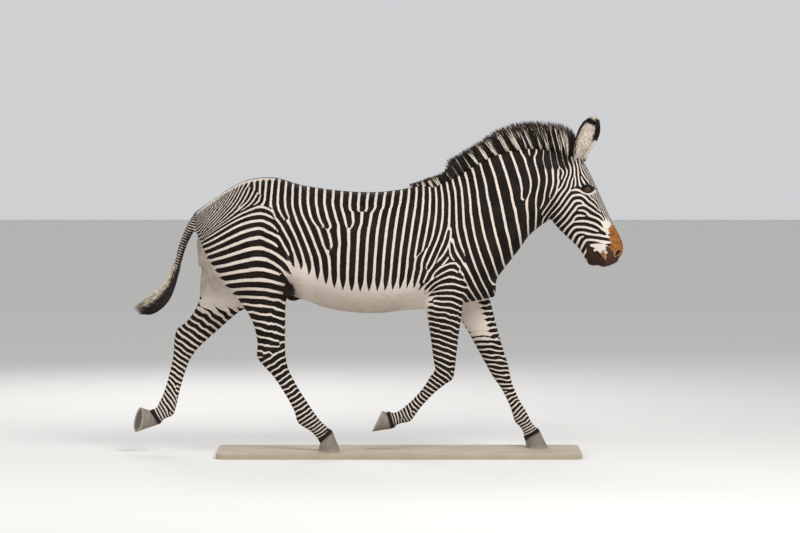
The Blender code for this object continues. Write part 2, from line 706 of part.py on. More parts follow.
def ear(side, name):
    """A leaf rolled into a tube at its foot and open at the top, with an even wall."""
    rows = smooth_between(EAR, EAR_STEPS)
    spine = np.array([(x, side * y, z) for x, y, z, _, _ in rows])
    axis = np.gradient(spine, axis=0)
    axis /= np.linalg.norm(axis, axis=1)[:, None]
    facing = np.array([cos(EAR_FACING), side * sin(EAR_FACING), 0.0])
    vertices = []
    for point, along, (_, _, _, width, roll) in zip(spine, axis, rows):
        opening = facing - along * np.dot(facing, along)
        opening /= np.linalg.norm(opening)
        across = np.cross(along, opening)
        roll = radians(roll)
        radius = width / 2 / sin(min(roll, pi / 2))
        for angle in np.linspace(-roll, roll, EAR_POINTS):
            place = point + across * radius * sin(angle) + opening * radius * (1 - cos(angle))
            vertices.append(turn_head(place))
    faces = []
    for i in range(len(rows) - 1):
        for j in range(EAR_POINTS - 1):
            a = i * EAR_POINTS + j
            faces.append((a, a + 1, a + EAR_POINTS + 1, a + EAR_POINTS))
    made = object_from(name, vertices, faces, model)
    wall = made.modifiers.new("wall", "SOLIDIFY")
    wall.thickness = EAR_WALL
    wall.offset = 0.0
    apply_modifiers(made)
    face_outwards(made)
    return made


def eye_and_socket(side, name, head):
    """An eyeball, and its socket cut into the head with a hair's gap round it."""
    place = turn_head(Vector(EYE_CENTRE) * Vector((1, side, 1)))
    balls = []
    for radius, holder, label in ((EYE_RADIUS, model, name), (EYE_RADIUS + GAP, cutters, f"{name}_socket")):
        bpy.ops.mesh.primitive_uv_sphere_add(segments=16, ring_count=9, radius=radius)
        ball = bpy.context.object
        ball.name = ball.data.name = label
        ball.data.transform(Matrix.Translation(place))
        for other in ball.users_collection:
            other.objects.unlink(ball)
        holder.objects.link(ball)
        balls.append(ball)
    as_cutter(balls[1])
    cut(head, balls[1])
    return balls[0]


def grown(obj, by, name):
    """A copy of a piece, larger all round, to cut its neighbour with."""
    copy = object_from(name, [v.co for v in obj.data.vertices],
                       [tuple(face.vertices) for face in obj.data.polygons], cutters)
    for vertex, was in zip(copy.data.vertices, obj.data.vertices):
        vertex.co = was.co + was.normal * by
    as_cutter(copy)
    return copy


def base():
    """The flat plate that the model stands on, with round corners and a soft upper edge."""
    bpy.ops.mesh.primitive_cube_add(size=1.0)
    plate = bpy.context.object
    plate.name = plate.data.name = "stand_base"
    size = Matrix.Diagonal((BASE_LENGTH, BASE_WIDTH, BASE_THICKNESS, 1.0))
    plate.data.transform(Matrix.Translation((BASE_MIDDLE_X, 0, -BASE_THICKNESS / 2)) @ size)
    shape = bmesh.new()
    shape.from_mesh(plate.data)
    posts = [e for e in shape.edges if abs(e.verts[0].co.z - e.verts[1].co.z) > BASE_THICKNESS / 2]
    bmesh.ops.bevel(shape, geom=posts, offset=BASE_CORNER, segments=5, affect="EDGES", profile=0.5)
    upper = [e for e in shape.edges if min(v.co.z for v in e.verts) > -BASE_THICKNESS / 4]
    bmesh.ops.bevel(shape, geom=upper, offset=BASE_EDGE, segments=2, affect="EDGES", profile=0.5)
    shape.to_mesh(plate.data)
    shape.free()
    for holder in plate.users_collection:
        holder.objects.unlink(plate)
    model.objects.link(plate)
    return plate


def centre_on_origin(pieces):
    """Moves the model so that the origin is under its middle, at the base's underside."""
    corners = np.array([v.co for piece in pieces for v in piece.data.vertices])
    middle = (corners.min(axis=0) + corners.max(axis=0)) / 2
    shift = Matrix.Translation((-middle[0], -middle[1], BASE_THICKNESS))
    for piece in pieces:
        piece.data.transform(shift)


clear_scene()
model = fresh_collection(MODEL)
cutters = fresh_collection("cutters")

skin = one_skin(model)
for kind in ("fore", "hind"):
    for side in (RIGHT, LEFT):
        cut(skin, coronet_cutter(kind, side))
named = name_pieces(part_skin(skin))
kinds = {name: "hair" if name in ("mane", "tail_tuft") else "coat" for name in named}

for side, word in ((RIGHT, "right"), (LEFT, "left")):
    for kind in ("fore", "hind"):
        name = f"hoof_{kind}_{word}"
        named[name] = hoof(kind, side, name)
        kinds[name] = "horn"
    name = f"eye_{word}"
    named[name] = eye_and_socket(side, name, named["head"])
    kinds[name] = "eye"

head_cutter = grown(named["head"], GAP, "head_grown")
mane_grown = grown(named["mane"], GAP, "mane_grown")
for side, word in ((RIGHT, "right"), (LEFT, "left")):
    name = f"ear_{word}"
    named[name] = ear(side, name)
    cut(named[name], head_cutter)
    cut(named[name], mane_grown)
    kinds[name] = "coat"

named["stand_base"] = base()
kinds["stand_base"] = "base"
centre_on_origin(named.values())
for name, piece in named.items():
    piece.data.materials.clear()
    piece.data.materials.append(material(kinds[name], name))
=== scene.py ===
"""The looks of a life-size standing model of a Grevy's zebra stallion."""

from math import cos, pi, radians, sin

import bmesh
import bpy
import numpy as np
from mathutils import Matrix, Vector
from mathutils.kdtree import KDTree


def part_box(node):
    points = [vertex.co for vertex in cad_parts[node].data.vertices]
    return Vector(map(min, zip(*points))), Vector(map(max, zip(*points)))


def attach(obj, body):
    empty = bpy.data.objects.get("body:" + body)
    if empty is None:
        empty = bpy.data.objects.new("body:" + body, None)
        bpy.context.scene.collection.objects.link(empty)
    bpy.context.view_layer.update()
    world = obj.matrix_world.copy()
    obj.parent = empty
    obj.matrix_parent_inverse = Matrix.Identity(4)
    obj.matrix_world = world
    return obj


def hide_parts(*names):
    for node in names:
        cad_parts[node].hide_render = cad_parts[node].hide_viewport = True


# The two sides of the body
RIGHT, LEFT = SIDES = -1, 1

# Joints of each leg as (x, z), and how far out from the middle they lie
HIP = (-0.745, 1.235)
STIFLE = {RIGHT: (-0.585, 0.895), LEFT: (-0.765, 0.865)}
HOCK = {RIGHT: (-0.574, 0.517), LEFT: (-1.055, 0.590)}
HIND_FETLOCK = {RIGHT: (-0.386, 0.191), LEFT: (-1.160, 0.216)}
HIND_CORONET = {RIGHT: (-0.279, 0.079), LEFT: (-1.228, 0.170)}
SHOULDER = {RIGHT: (0.400, 1.080), LEFT: (0.440, 1.060)}
ELBOW = {RIGHT: (0.362, 0.830), LEFT: (0.505, 0.830)}
KNEE = {RIGHT: (0.370, 0.430), LEFT: (0.668, 0.450)}
FORE_FETLOCK = {RIGHT: (0.163, 0.196), LEFT: (0.800, 0.168)}
FORE_CORONET = {RIGHT: (0.070, 0.167), LEFT: (0.859, 0.073)}
HIP_OUT, HOCK_OUT, HIND_FOOT_OUT = 0.145, 0.125, 0.105
SHOULDER_OUT, KNEE_OUT, FORE_FOOT_OUT = 0.125, 0.115, 0.100

# Depth of a leg in front of and behind its bones, its width, and what the stretched thigh of the
# trailing leg has more behind, as (segment of the leg, how far along it, front, back, width, stretch)
TRAILING = ("hind", LEFT)
HIND_PROFILE = (
    (0, 0.00, 0.215, 0.235, 0.205, 0.000),
    (0, 0.35, 0.205, 0.250, 0.235, 0.000),
    (0, 0.70, 0.155, 0.240, 0.225, 0.012),
    (1, 0.00, 0.112, 0.205, 0.185, 0.044),
    (1, 0.25, 0.088, 0.145, 0.145, 0.038),
    (1, 0.50, 0.082, 0.102, 0.118, 0.012),
    (1, 0.75, 0.078, 0.082, 0.098, 0.000),
    (1, 0.95, 0.078, 0.086, 0.090, 0.000),
    (2, 0.10, 0.066, 0.066, 0.086, 0.000),
    (2, 0.28, 0.048, 0.050, 0.062, 0.000),
    (2, 0.60, 0.043, 0.044, 0.050, 0.000),
    (2, 0.84, 0.047, 0.048, 0.056, 0.000),
    (3, 0.00, 0.050, 0.062, 0.070, 0.000),
    (3, 0.50, 0.042, 0.044, 0.062, 0.000),
    (3, 1.00, 0.048, 0.046, 0.082, 0.000),
)
FORE_PROFILE = (
    (0, 0.00, 0.110, 0.110, 0.130, 0.000),
    (0, 0.50, 0.130, 0.125, 0.165, 0.000),
    (1, 0.00, 0.116, 0.106, 0.160, 0.000),
    (1, 0.22, 0.104, 0.092, 0.140, 0.000),
    (1, 0.45, 0.088, 0.078, 0.118, 0.000),
    (1, 0.70, 0.074, 0.068, 0.098, 0.000),
    (1, 0.90, 0.064, 0.060, 0.090, 0.000),
    (2, 0.02, 0.060, 0.056, 0.090, 0.000),
    (2, 0.18, 0.048, 0.050, 0.074, 0.000),
    (2, 0.40, 0.035, 0.038, 0.054, 0.000),
    (2, 0.70, 0.033, 0.036, 0.048, 0.000),
    (2, 0.90, 0.039, 0.043, 0.056, 0.000),
    (3, 0.00, 0.041, 0.048, 0.066, 0.000),
    (3, 0.50, 0.036, 0.038, 0.058, 0.000),
    (3, 1.00, 0.047, 0.050, 0.082, 0.000),
)

# Trunk, neck, head and tail sections as (top x, top z, bottom x, bottom z, width, how much wider
# the bottom is than the top)
TRUNK = (
    (-0.985, 1.318, -0.970, 1.140, 0.140, 0.00),  # buttocks
    (-0.945, 1.352, -0.945, 1.060, 0.270, 0.05),
    (-0.890, 1.388, -0.890, 0.990, 0.360, 0.10),
    (-0.810, 1.443, -0.810, 0.930, 0.440, 0.16),
    (-0.700, 1.492, -0.700, 0.890, 0.490, 0.16),
    (-0.560, 1.502, -0.560, 0.868, 0.520, 0.14),  # croup
    (-0.425, 1.464, -0.425, 0.832, 0.540, 0.12),  # flank
    (-0.285, 1.440, -0.285, 0.782, 0.570, 0.12),
    (-0.150, 1.426, -0.150, 0.757, 0.580, 0.12),  # barrel
    (-0.010, 1.422, -0.010, 0.750, 0.560, 0.14),
    (0.125, 1.436, 0.125, 0.762, 0.510, 0.20),  # girth
    (0.265, 1.458, 0.280, 0.775, 0.440, 0.28),  # withers
    (0.400, 1.400, 0.440, 0.800, 0.380, 0.24),
    (0.510, 1.240, 0.560, 0.818, 0.320, 0.10),
    (0.618, 1.080, 0.632, 0.838, 0.240, 0.00),  # breast
)
NECK = (
    (0.235, 1.420, 0.510, 0.845, 0.320, 0.30),
    (0.330, 1.462, 0.618, 0.886, 0.345, 0.34),
    (0.425, 1.505, 0.680, 0.966, 0.330, 0.36),
    (0.505, 1.552, 0.737, 1.040, 0.295, 0.36),
    (0.590, 1.603, 0.787, 1.104, 0.265, 0.34),
    (0.680, 1.640, 0.830, 1.166, 0.240, 0.32),
    (0.775, 1.662, 0.878, 1.212, 0.220, 0.30),
    (0.870, 1.664, 0.925, 1.246, 0.205, 0.26),
    (0.955, 1.650, 0.968, 1.282, 0.190, 0.20),
    (1.030, 1.622, 1.010, 1.340, 0.175, 0.10),
)
HEAD = (
    (1.095, 1.622, 0.985, 1.500, 0.155, -0.05),  # poll
    (1.142, 1.580, 0.955, 1.425, 0.190, -0.10),
    (1.178, 1.515, 0.935, 1.352, 0.205, -0.16),
    (1.207, 1.455, 0.945, 1.285, 0.200, -0.20),  # eyes and jaw
    (1.240, 1.382, 0.990, 1.222, 0.172, -0.16),
    (1.272, 1.312, 1.050, 1.163, 0.142, -0.06),
    (1.304, 1.246, 1.098, 1.118, 0.124, 0.02),
    (1.334, 1.190, 1.128, 1.078, 0.120, 0.04),
    (1.355, 1.140, 1.150, 1.040, 0.126, 0.00),  # nostrils and mouth
    (1.355, 1.090, 1.180, 1.018, 0.124, 0.00),
    (1.332, 1.050, 1.225, 1.012, 0.100, 0.00),
)
TAIL = (
    (-0.940, 1.345, -0.925, 1.240, 0.085, 0.00),
    (-0.992, 1.318, -0.962, 1.232, 0.072, 0.00),
    (-1.032, 1.264, -0.990, 1.212, 0.062, 0.00),
    (-1.066, 1.196, -1.022, 1.168, 0.056, 0.00),
    (-1.094, 1.120, -1.050, 1.104, 0.050, 0.00),
    (-1.114, 1.040, -1.073, 1.026, 0.046, 0.00),
    (-1.136, 0.978, -1.094, 0.958, 0.046, 0.00),
    (-1.166, 0.930, -1.112, 0.892, 0.050, 0.00),
    (-1.205, 0.890, -1.140, 0.828, 0.056, 0.00),
    (-1.250, 0.852, -1.184, 0.776, 0.060, 0.00),
    (-1.298, 0.816, -1.240, 0.744, 0.056, 0.00),
    (-1.352, 0.782, -1.316, 0.742, 0.036, 0.00),
)
# The upright mane: (x, height of the hair tips, height of the crest below it)
MANE = (
    (0.200, 1.470, 1.430),
    (0.290, 1.502, 1.440),
    (0.380, 1.540, 1.470),
    (0.455, 1.628, 1.515),
    (0.565, 1.698, 1.575),
    (0.675, 1.768, 1.625),
    (0.785, 1.806, 1.650),
    (0.895, 1.812, 1.650),
    (1.005, 1.800, 1.635),
    (1.070, 1.768, 1.610),
    (1.100, 1.716, 1.600),
)

# Muscles that stand out and hollows between them, seen from the side:
# (x, z, reach along, reach across, lean towards the front in degrees, how far out)
MUSCLES = (
    (-0.790, 1.220, 0.150, 0.170, 0, 0.018),  # haunch
    (-0.620, 1.370, 0.065, 0.045, -20, 0.010),  # point of the hip
    (-0.480, 1.130, 0.060, 0.130, 10, -0.016),  # hollow of the flank
    (-0.560, 0.930, 0.060, 0.075, 0, 0.010),  # stifle
    (-0.900, 1.020, 0.050, 0.120, 10, 0.008),  # hamstring
    (0.370, 1.190, 0.085, 0.190, 24, 0.014),  # shoulder blade
    (0.215, 1.230, 0.050, 0.150, 15, -0.010),  # hollow behind the shoulder
    (0.300, 0.960, 0.100, 0.090, 0, 0.016),  # forearm's upper muscle
    (0.550, 1.020, 0.060, 0.070, 0, 0.012),  # point of the shoulder
    (0.500, 1.250, 0.040, 0.150, 32, -0.008),  # groove before the shoulder
    (1.055, 1.345, 0.070, 0.065, 0, 0.010),  # cheek
    (1.156, 1.480, 0.028, 0.016, -20, 0.009),  # brow
    (1.105, 1.520, 0.025, 0.020, 0, -0.006),  # hollow above the eye
    (1.225, 1.235, 0.030, 0.070, -25, -0.006),  # side of the nose
    (1.325, 1.095, 0.028, 0.024, 0, 0.006),  # nostril
    (1.190, 1.345, 0.012, 0.060, -18, 0.004),  # ridge of the cheekbone
    (1.030, 1.300, 0.050, 0.050, 0, 0.004),  # roundness of the jaw
    (-0.860, 1.300, 0.030, 0.060, 30, -0.006),  # dip beside the tail
)
CHIN = ((1.200, 0.0, 1.046), (0.048, 0.040, 0.034), -15)
SHEATH = ((-0.452, 0.0, 0.868), (0.062, 0.040, 0.052), -20)

# The head is turned a little towards its right side
HEAD_TURN = radians(-8)
TURN_AXIS_X = 1.04
TURN_START_X, TURN_END_X = 0.78, 1.10

EYE_CENTRE, EYE_RADIUS = (1.162, 0.0640, 1.440), 0.0235

# An ear as a curled leaf: centre line of its back as (x, out from the middle, z), with its width there
# and how far it is rolled, in degrees to each side
EAR = (
    (1.104, 0.062, 1.585, 0.050, 105),
    (1.108, 0.068, 1.625, 0.062, 100),
    (1.118, 0.076, 1.670, 0.088, 85),
    (1.136, 0.085, 1.715, 0.112, 72),
    (1.154, 0.093, 1.757, 0.118, 64),
    (1.172, 0.100, 1.795, 0.098, 58),
    (1.186, 0.105, 1.820, 0.060, 52),
    (1.195, 0.107, 1.836, 0.018, 45),
)
EAR_FACING = radians(58)  # how far each ear opens outwards from straight ahead

HOOF_WIDTH = 0.098  # at the sole
# The ground ends of each hoof as (toe x, toe z, heel x, heel z), and how far its sole is turned, in degrees
SOLES = {
    ("hind", RIGHT): (-0.200, 0.0, -0.322, 0.0, 0),
    ("fore", LEFT): (0.946, 0.0, 0.826, 0.0, 0),
    ("fore", RIGHT): (-0.026, 0.106, 0.030, 0.221, 0),
    ("hind", LEFT): (-1.334, 0.086, -1.306, 0.224, -28),
}

BASE_MIDDLE_X = 0.12
BODY_END_X, BODY_START_X, BODY_LOW_Z, BODY_FADE = 0.90, -1.02, 0.80, 0.12

# How the stripes lie on the trunk, neck and head, seen from the side: (x, z, the way a stripe runs in
# degrees above level, millimetres from one stripe to the next)
STRIPES = {
    "croup": (
        (-0.945, 1.305, 56, 10), (-0.905, 1.355, 54, 11), (-0.840, 1.385, 55, 13), (-0.780, 1.390, 62, 18),
        (-0.735, 1.365, 64, 23), (-0.680, 1.410, 74, 30), (-0.625, 1.435, 84, 33), (-0.555, 1.440, 90, 36),
        (-0.480, 1.435, 91, 39),
    ),
    "rump": (
        (-0.930, 1.235, 48, 14), (-0.880, 1.255, 42, 17), (-0.835, 1.305, 46, 17), (-0.795, 1.280, 33, 24),
        (-0.875, 1.200, 32, 23), (-0.750, 1.300, 26, 26), (-0.935, 1.130, 28, 24),
    ),
    "haunch": (
        (-0.640, 1.340, 2, 29), (-0.635, 1.310, 0, 33), (-0.635, 1.275, 0, 38), (-0.635, 1.235, 2, 42),
        (-0.640, 1.190, 0, 51), (-0.640, 1.140, 0, 58), (-0.645, 1.080, 0, 62), (-0.645, 1.015, 0, 62),
        (-0.645, 0.955, 0, 60), (-0.750, 1.235, 28, 40), (-0.750, 1.185, 29, 46), (-0.750, 1.145, 27, 49),
        (-0.750, 1.100, 24, 48), (-0.750, 1.055, 20, 55), (-0.750, 1.005, 12, 57), (-0.750, 0.950, 4, 54),
        (-0.845, 1.185, 30, 39), (-0.845, 1.125, 28, 42), (-0.845, 1.090, 22, 42), (-0.865, 1.060, 5, 45),
        (-0.840, 1.025, 4, 48), (-0.820, 0.975, 0, 48), (-0.560, 1.280, 118, 33), (-0.580, 1.270, 112, 29),
        (-0.545, 1.200, 138, 40), (-0.545, 1.145, 144, 49), (-0.505, 1.095, 122, 45),
        (-0.570, 1.100, 146, 52), (-0.510, 1.030, 122, 54), (-0.475, 0.960, 104, 50),
        (-0.570, 1.055, 160, 58), (-0.525, 0.995, 148, 57), (-0.540, 0.945, 164, 55),
        (-0.500, 0.920, 146, 48), (-0.665, 0.900, 176, 45), (-0.545, 0.890, 178, 39),
        (-0.665, 0.865, 0, 44), (-0.545, 0.840, 176, 42),
    ),
    "flank": (
        (-0.530, 1.280, 106, 37), (-0.485, 1.140, 108, 39), (-0.435, 1.280, 107, 39),
        (-0.395, 1.185, 119, 39), (-0.450, 1.050, 112, 36), (-0.370, 1.265, 114, 49),
        (-0.315, 1.145, 113, 48), (-0.290, 1.010, 90, 46), (-0.385, 1.075, 100, 39),
        (-0.415, 1.030, 102, 35), (-0.325, 1.300, 114, 51), (-0.265, 1.165, 108, 48),
        (-0.245, 1.005, 90, 48),
    ),
    "back": (
        (-0.405, 1.400, 91, 46), (-0.315, 1.415, 94, 48), (-0.215, 1.380, 90, 46), (-0.120, 1.375, 89, 48),
        (-0.025, 1.390, 80, 49), (0.070, 1.390, 78, 46), (0.145, 1.390, 78, 43), (0.215, 1.415, 74, 40),
        (0.280, 1.415, 88, 32), (0.345, 1.430, 102, 31), (0.405, 1.435, 101, 32),
    ),
    "barrel": (
        (-0.270, 1.300, 122, 51), (-0.215, 1.190, 106, 49), (-0.200, 1.010, 90, 49),
        (-0.160, 1.240, 107, 51), (-0.135, 1.075, 90, 51), (-0.120, 1.260, 90, 46), (-0.055, 1.315, 74, 52),
        (-0.090, 1.180, 83, 51), (-0.100, 1.010, 87, 51), (0.005, 1.315, 76, 51), (-0.025, 1.180, 81, 51),
        (-0.050, 1.010, 84, 51), (0.050, 1.165, 88, 45), (0.045, 1.010, 89, 46), (0.125, 1.315, 80, 48),
        (0.100, 1.180, 84, 48), (0.090, 1.010, 88, 46), (0.195, 1.335, 75, 45), (0.155, 1.205, 84, 46),
        (0.135, 1.010, 83, 45), (0.235, 1.315, 79, 42), (0.195, 1.160, 79, 43), (0.180, 0.995, 83, 40),
    ),
    "shoulder": (
        (0.280, 1.315, 89, 35), (0.260, 1.165, 80, 37), (0.330, 1.315, 90, 32), (0.320, 1.195, 66, 34),
        (0.265, 1.060, 76, 35), (0.390, 1.275, 89, 32), (0.355, 1.160, 60, 35), (0.280, 1.010, 62, 35),
        (0.420, 1.300, 90, 34), (0.445, 1.155, 112, 35), (0.500, 1.030, 118, 39), (0.365, 1.050, 46, 35),
        (0.290, 0.960, 57, 28), (0.400, 1.075, 0, 40), (0.430, 1.055, 127, 40), (0.485, 0.970, 126, 40),
        (0.400, 1.010, 0, 31), (0.415, 0.960, 165, 28), (0.330, 0.980, 42, 28), (0.280, 0.905, 45, 22),
        (0.470, 0.920, 135, 35), (0.365, 0.910, 5, 29), (0.300, 0.875, 42, 25), (0.430, 0.875, 140, 32),
        (0.485, 0.850, 112, 35), (0.340, 0.810, 5, 31), (0.410, 0.790, 165, 31), (0.285, 0.795, 35, 28),
    ),
    "neck": (
        (0.400, 1.415, 102, 35), (0.415, 1.280, 93, 38), (0.450, 1.140, 114, 41), (0.510, 0.995, 111, 46),
        (0.465, 1.470, 110, 36), (0.485, 1.355, 94, 39), (0.500, 1.220, 99, 39), (0.535, 1.100, 112, 45),
        (0.580, 0.980, 107, 45), (0.490, 1.500, 120, 43), (0.520, 1.385, 97, 48), (0.540, 1.250, 99, 48),
        (0.575, 1.125, 110, 49), (0.615, 1.005, 107, 49), (0.515, 1.525, 124, 48), (0.570, 1.395, 101, 55),
        (0.600, 1.250, 103, 68), (0.640, 1.135, 117, 77), (0.690, 1.055, 137, 82), (0.560, 1.575, 125, 55),
        (0.620, 1.460, 108, 73), (0.655, 1.325, 103, 81), (0.615, 1.610, 128, 68), (0.695, 1.475, 110, 82),
        (0.725, 1.330, 97, 86), (0.745, 1.160, 95, 84), (0.700, 1.600, 121, 73), (0.770, 1.475, 115, 81),
        (0.805, 1.330, 96, 82), (0.785, 1.695, 119, 52), (0.835, 1.550, 100, 53), (0.845, 1.390, 86, 49),
        (0.840, 1.250, 91, 52), (0.830, 1.680, 112, 45), (0.875, 1.550, 106, 49), (0.890, 1.400, 86, 49),
        (0.885, 1.280, 90, 48), (0.900, 1.710, 111, 41), (0.935, 1.585, 100, 48), (0.940, 1.460, 82, 45),
    ),
    "poll": (
        (0.925, 1.650, 92, 37), (0.955, 1.665, 92, 34), (0.990, 1.650, 95, 33), (1.000, 1.565, 112, 32),
        (1.040, 1.555, 122, 25), (1.030, 1.650, 110, 31),
    ),
    "cheek": (
        (0.935, 1.515, 102, 41), (0.935, 1.420, 80, 34), (0.975, 1.505, 95, 29), (0.965, 1.430, 68, 27),
        (1.000, 1.505, 85, 25), (0.995, 1.430, 60, 25), (1.040, 1.505, 52, 21), (1.020, 1.425, 56, 26),
        (1.045, 1.415, 54, 27), (0.970, 1.325, 46, 27), (0.935, 1.310, 50, 28), (1.005, 1.325, 50, 27),
        (1.075, 1.375, 60, 28), (1.050, 1.310, 52, 28), (1.000, 1.245, 48, 28), (1.080, 1.290, 60, 29),
        (1.040, 1.230, 46, 29), (1.045, 1.200, 68, 34), (1.110, 1.150, 66, 36), (1.140, 1.125, 66, 34),
    ),
    "face": (
        (1.080, 1.515, 82, 21), (1.100, 1.505, 95, 18), (1.070, 1.470, 80, 21), (1.160, 1.505, 124, 25),
        (1.110, 1.425, 0, 28), (1.110, 1.375, 0, 31), (1.125, 1.330, 0, 32), (1.135, 1.280, 2, 32),
        (1.140, 1.245, 0, 31), (1.100, 1.345, 62, 28), (1.155, 1.375, 135, 31), (1.190, 1.345, 142, 28),
        (1.165, 1.300, 142, 32), (1.195, 1.285, 162, 34), (1.245, 1.255, 130, 31), (1.185, 1.245, 160, 34),
        (1.240, 1.235, 150, 32), (1.140, 1.205, 178, 29), (1.220, 1.180, 163, 31), (1.190, 1.160, 172, 29),
        (1.245, 1.140, 175, 29), (1.215, 1.405, 112, 11), (1.240, 1.345, 112, 11), (1.265, 1.285, 112, 11),
        (1.165, 1.555, 112, 12),
    ),
}
# Stripe spacing down each leg in millimetres, as (segment and share of it, spacing)
LEG_STRIPES = {
    "hind": (
        (0.0, 62), (0.7, 56), (1.0, 51), (1.5, 46), (2.0, 36), (2.3, 31), (2.7, 28), (3.0, 24), (3.5, 19),
        (4.0, 15),
    ),
    "fore": (
        (0.0, 38), (0.7, 36), (1.0, 33), (1.5, 31), (2.0, 27), (2.4, 24), (2.8, 22), (3.0, 20), (3.5, 16),
        (4.0, 13),
    ),
}
# How dark each leg is at its stifle or elbow, its hock or knee, and its pastern
LEG_DARKNESS = {
    ("fore", RIGHT): (0.76, 0.76, 0.69),
    ("fore", LEFT): (0.71, 0.72, 0.66),
    ("hind", RIGHT): (0.74, 0.76, 0.69),
    ("hind", LEFT): (0.69, 0.68, 0.62),
}
# How far the stripes of each leg slope down towards the front, along the leg
LEG_SLOPES = {
    ("fore", RIGHT): (
        (1.0, 0), (1.3, 0.1), (1.5, 0.25), (1.78, 0.5), (1.95, 0.55), (2.1, 0.2), (2.5, 0), (3, 0.2), (4, 0),
    ),
    ("fore", LEFT): (
        (1.0, -0.1), (1.4, 0.15), (1.8, 0.65), (2.2, 0.6), (2.5, 0.2), (2.75, -0.4), (3.0, -0.3),
        (3.3, 0.1), (4, 0),
    ),
    ("hind", RIGHT): (
        (1.1, 0.1), (1.35, 0.2), (1.7, 0.6), (1.85, 0.2), (2.0, -0.6), (2.2, -0.4), (2.5, 0.3), (2.8, 0),
        (4, 0.1),
    ),
    ("hind", LEFT): ((1.6, 0), (2.1, 0.05), (2.4, 0.4), (2.7, 0.75), (3.0, 0.55), (3.4, 0.2), (4, 0)),
}
# Lower edge of the flank's stripes, where they end in points above the white belly: (x, z)
BELLY_EDGE = (
    (-0.70, 0.960), (-0.50, 1.030), (-0.44, 1.020), (-0.34, 0.955), (-0.24, 0.905), (-0.13, 0.882),
    (-0.02, 0.886), (0.10, 0.888), (0.20, 0.905), (0.27, 0.860), (0.34, 0.780),
)

COAT_DEPTH = 0.004  # how far the skin lies inside the outline, for the hair over it
SKIN_VOXEL = 0.0044
SKIN_FACES = 150000
LOFT_POINTS, LOFT_STEPS, DOME_RINGS = 60, 10, 5
EAR_THICKNESS = 0.0095
TAIL_FLESH_ROWS = 8
CREST_RISE = 0.006
TAIL_SPACING, FACE_SPACING = 0.0145, 0.0105  # from one stripe to the next
TRAILING_CROWDING = 0.86  # how much closer the stripes of the trailing leg stand
STRIPES_START = (0.0, -0.28, 1.10)
HEAD_BEGINS = (0.92, 1.00)
LID_ROUNDNESS = 1.6


class Value:
    """A socket of a shader, so that its maths can be written as sums."""

    def __init__(self, finish, socket):
        self.finish, self.socket = finish, socket

    def maths(self, operation, *others):
        inputs = dict(enumerate((self, *others)))
        return self.finish.node("ShaderNodeMath", {"operation": operation}, inputs)

    def __add__(self, other):
        return self.maths("ADD", other)

    def __sub__(self, other):
        return self.maths("SUBTRACT", other)

    def __rsub__(self, other):
        return self.maths("MULTIPLY_ADD", -1.0, other)

    def __mul__(self, other):
        return self.maths("MULTIPLY", other)

    __radd__, __rmul__ = __add__, __mul__

    def fade(self, start, end):
        """0 below the start and 1 past the end, with a smooth step between."""
        settings = {"interpolation_type": "SMOOTHSTEP"}
        inputs = {"Value": self, "From Min": start, "From Max": end}
        return self.finish.node("ShaderNodeMapRange", settings, inputs)


class Finish:
    """A material in the making."""

    def __init__(self, name):
        self.material = bpy.data.materials.new(name)
        self.material.use_nodes = True
        self.tree = self.material.node_tree
        self.shader = self.tree.nodes["Principled BSDF"]

    def node(self, kind, settings=None, inputs=None, output=0):
        made = self.tree.nodes.new(kind)
        for name, setting in (settings or {}).items():
            setattr(made, name, setting)
        for name, given in (inputs or {}).items():
            self.feed(made.inputs[name], given)
        return Value(self, made.outputs[output])

    def feed(self, socket, given):
        if isinstance(given, Value):
            self.tree.links.new(given.socket, socket)
        elif isinstance(given, tuple) and len(given) == 3 and socket.type == "RGBA":
            socket.default_value = (*given, 1.0)
        else:
            socket.default_value = given

    def set(self, **inputs):
        for name, given in inputs.items():
            self.feed(self.shader.inputs[name.replace("_", " ")], given)

    def place(self, scale=(1, 1, 1)):
        """Where on the object a point is, in metres, stretched."""
        here = self.node("ShaderNodeTexCoord", output="Object")
        return self.node("ShaderNodeMapping", inputs={"Vector": here, "Scale": scale})

    def noise(self, place, scale, detail=2.0, roughness=0.5):
        inputs = {"Vector": place, "Scale": scale, "Detail": detail, "Roughness": roughness}
        return self.node("ShaderNodeTexNoise", inputs=inputs)

    def marked(self, name):
        """A number that the piece holds at each of its points."""
        return self.node("ShaderNodeAttribute", {"attribute_name": name}, output="Fac")

    def blend(self, share, first, second):
        """One colour turning into another as the share goes from 0 to 1."""
        return self.node("ShaderNodeMix", {"data_type": "RGBA"}, {0: share, 6: first, 7: second}, 2)

    def bump(self, height, strength, distance):
        inputs = {"Height": height, "Strength": strength, "Distance": distance}
        return self.node("ShaderNodeBump", inputs=inputs)


def rise(value, start, end):
    """0 below the start and 1 past the end, with a smooth step between."""
    share = np.clip((value - start) / (end - start), 0, 1)
    return share * share * (3 - 2 * share)


def fall(value, start, end):
    """1 below the start and 0 past the end, with a smooth step between."""
    return rise(-value, -end, -start)


def long_one(ways):
    """Directions stretched to length one."""
    if ways.ndim == 1:
        return ways / np.linalg.norm(ways)
    return ways / np.linalg.norm(ways, axis=-1, keepdims=True)


def smooth_between(rows, steps):
    """Rows of numbers joined by smooth curves, each span in `steps` parts."""
    rows = np.asarray(rows, float)
    slope = np.gradient(rows, axis=0)
    out = []
    for i in range(len(rows) - 1):
        for t in np.linspace(0, 1, steps, endpoint=False):
            a = 2 * t**3 - 3 * t**2 + 1
            b = t**3 - 2 * t**2 + t
            c = -2 * t**3 + 3 * t**2
            d = t**3 - t**2
            out.append(a * rows[i] + b * slope[i] + c * rows[i + 1] + d * slope[i + 1])
    out.append(rows[-1])
    return np.array(out)


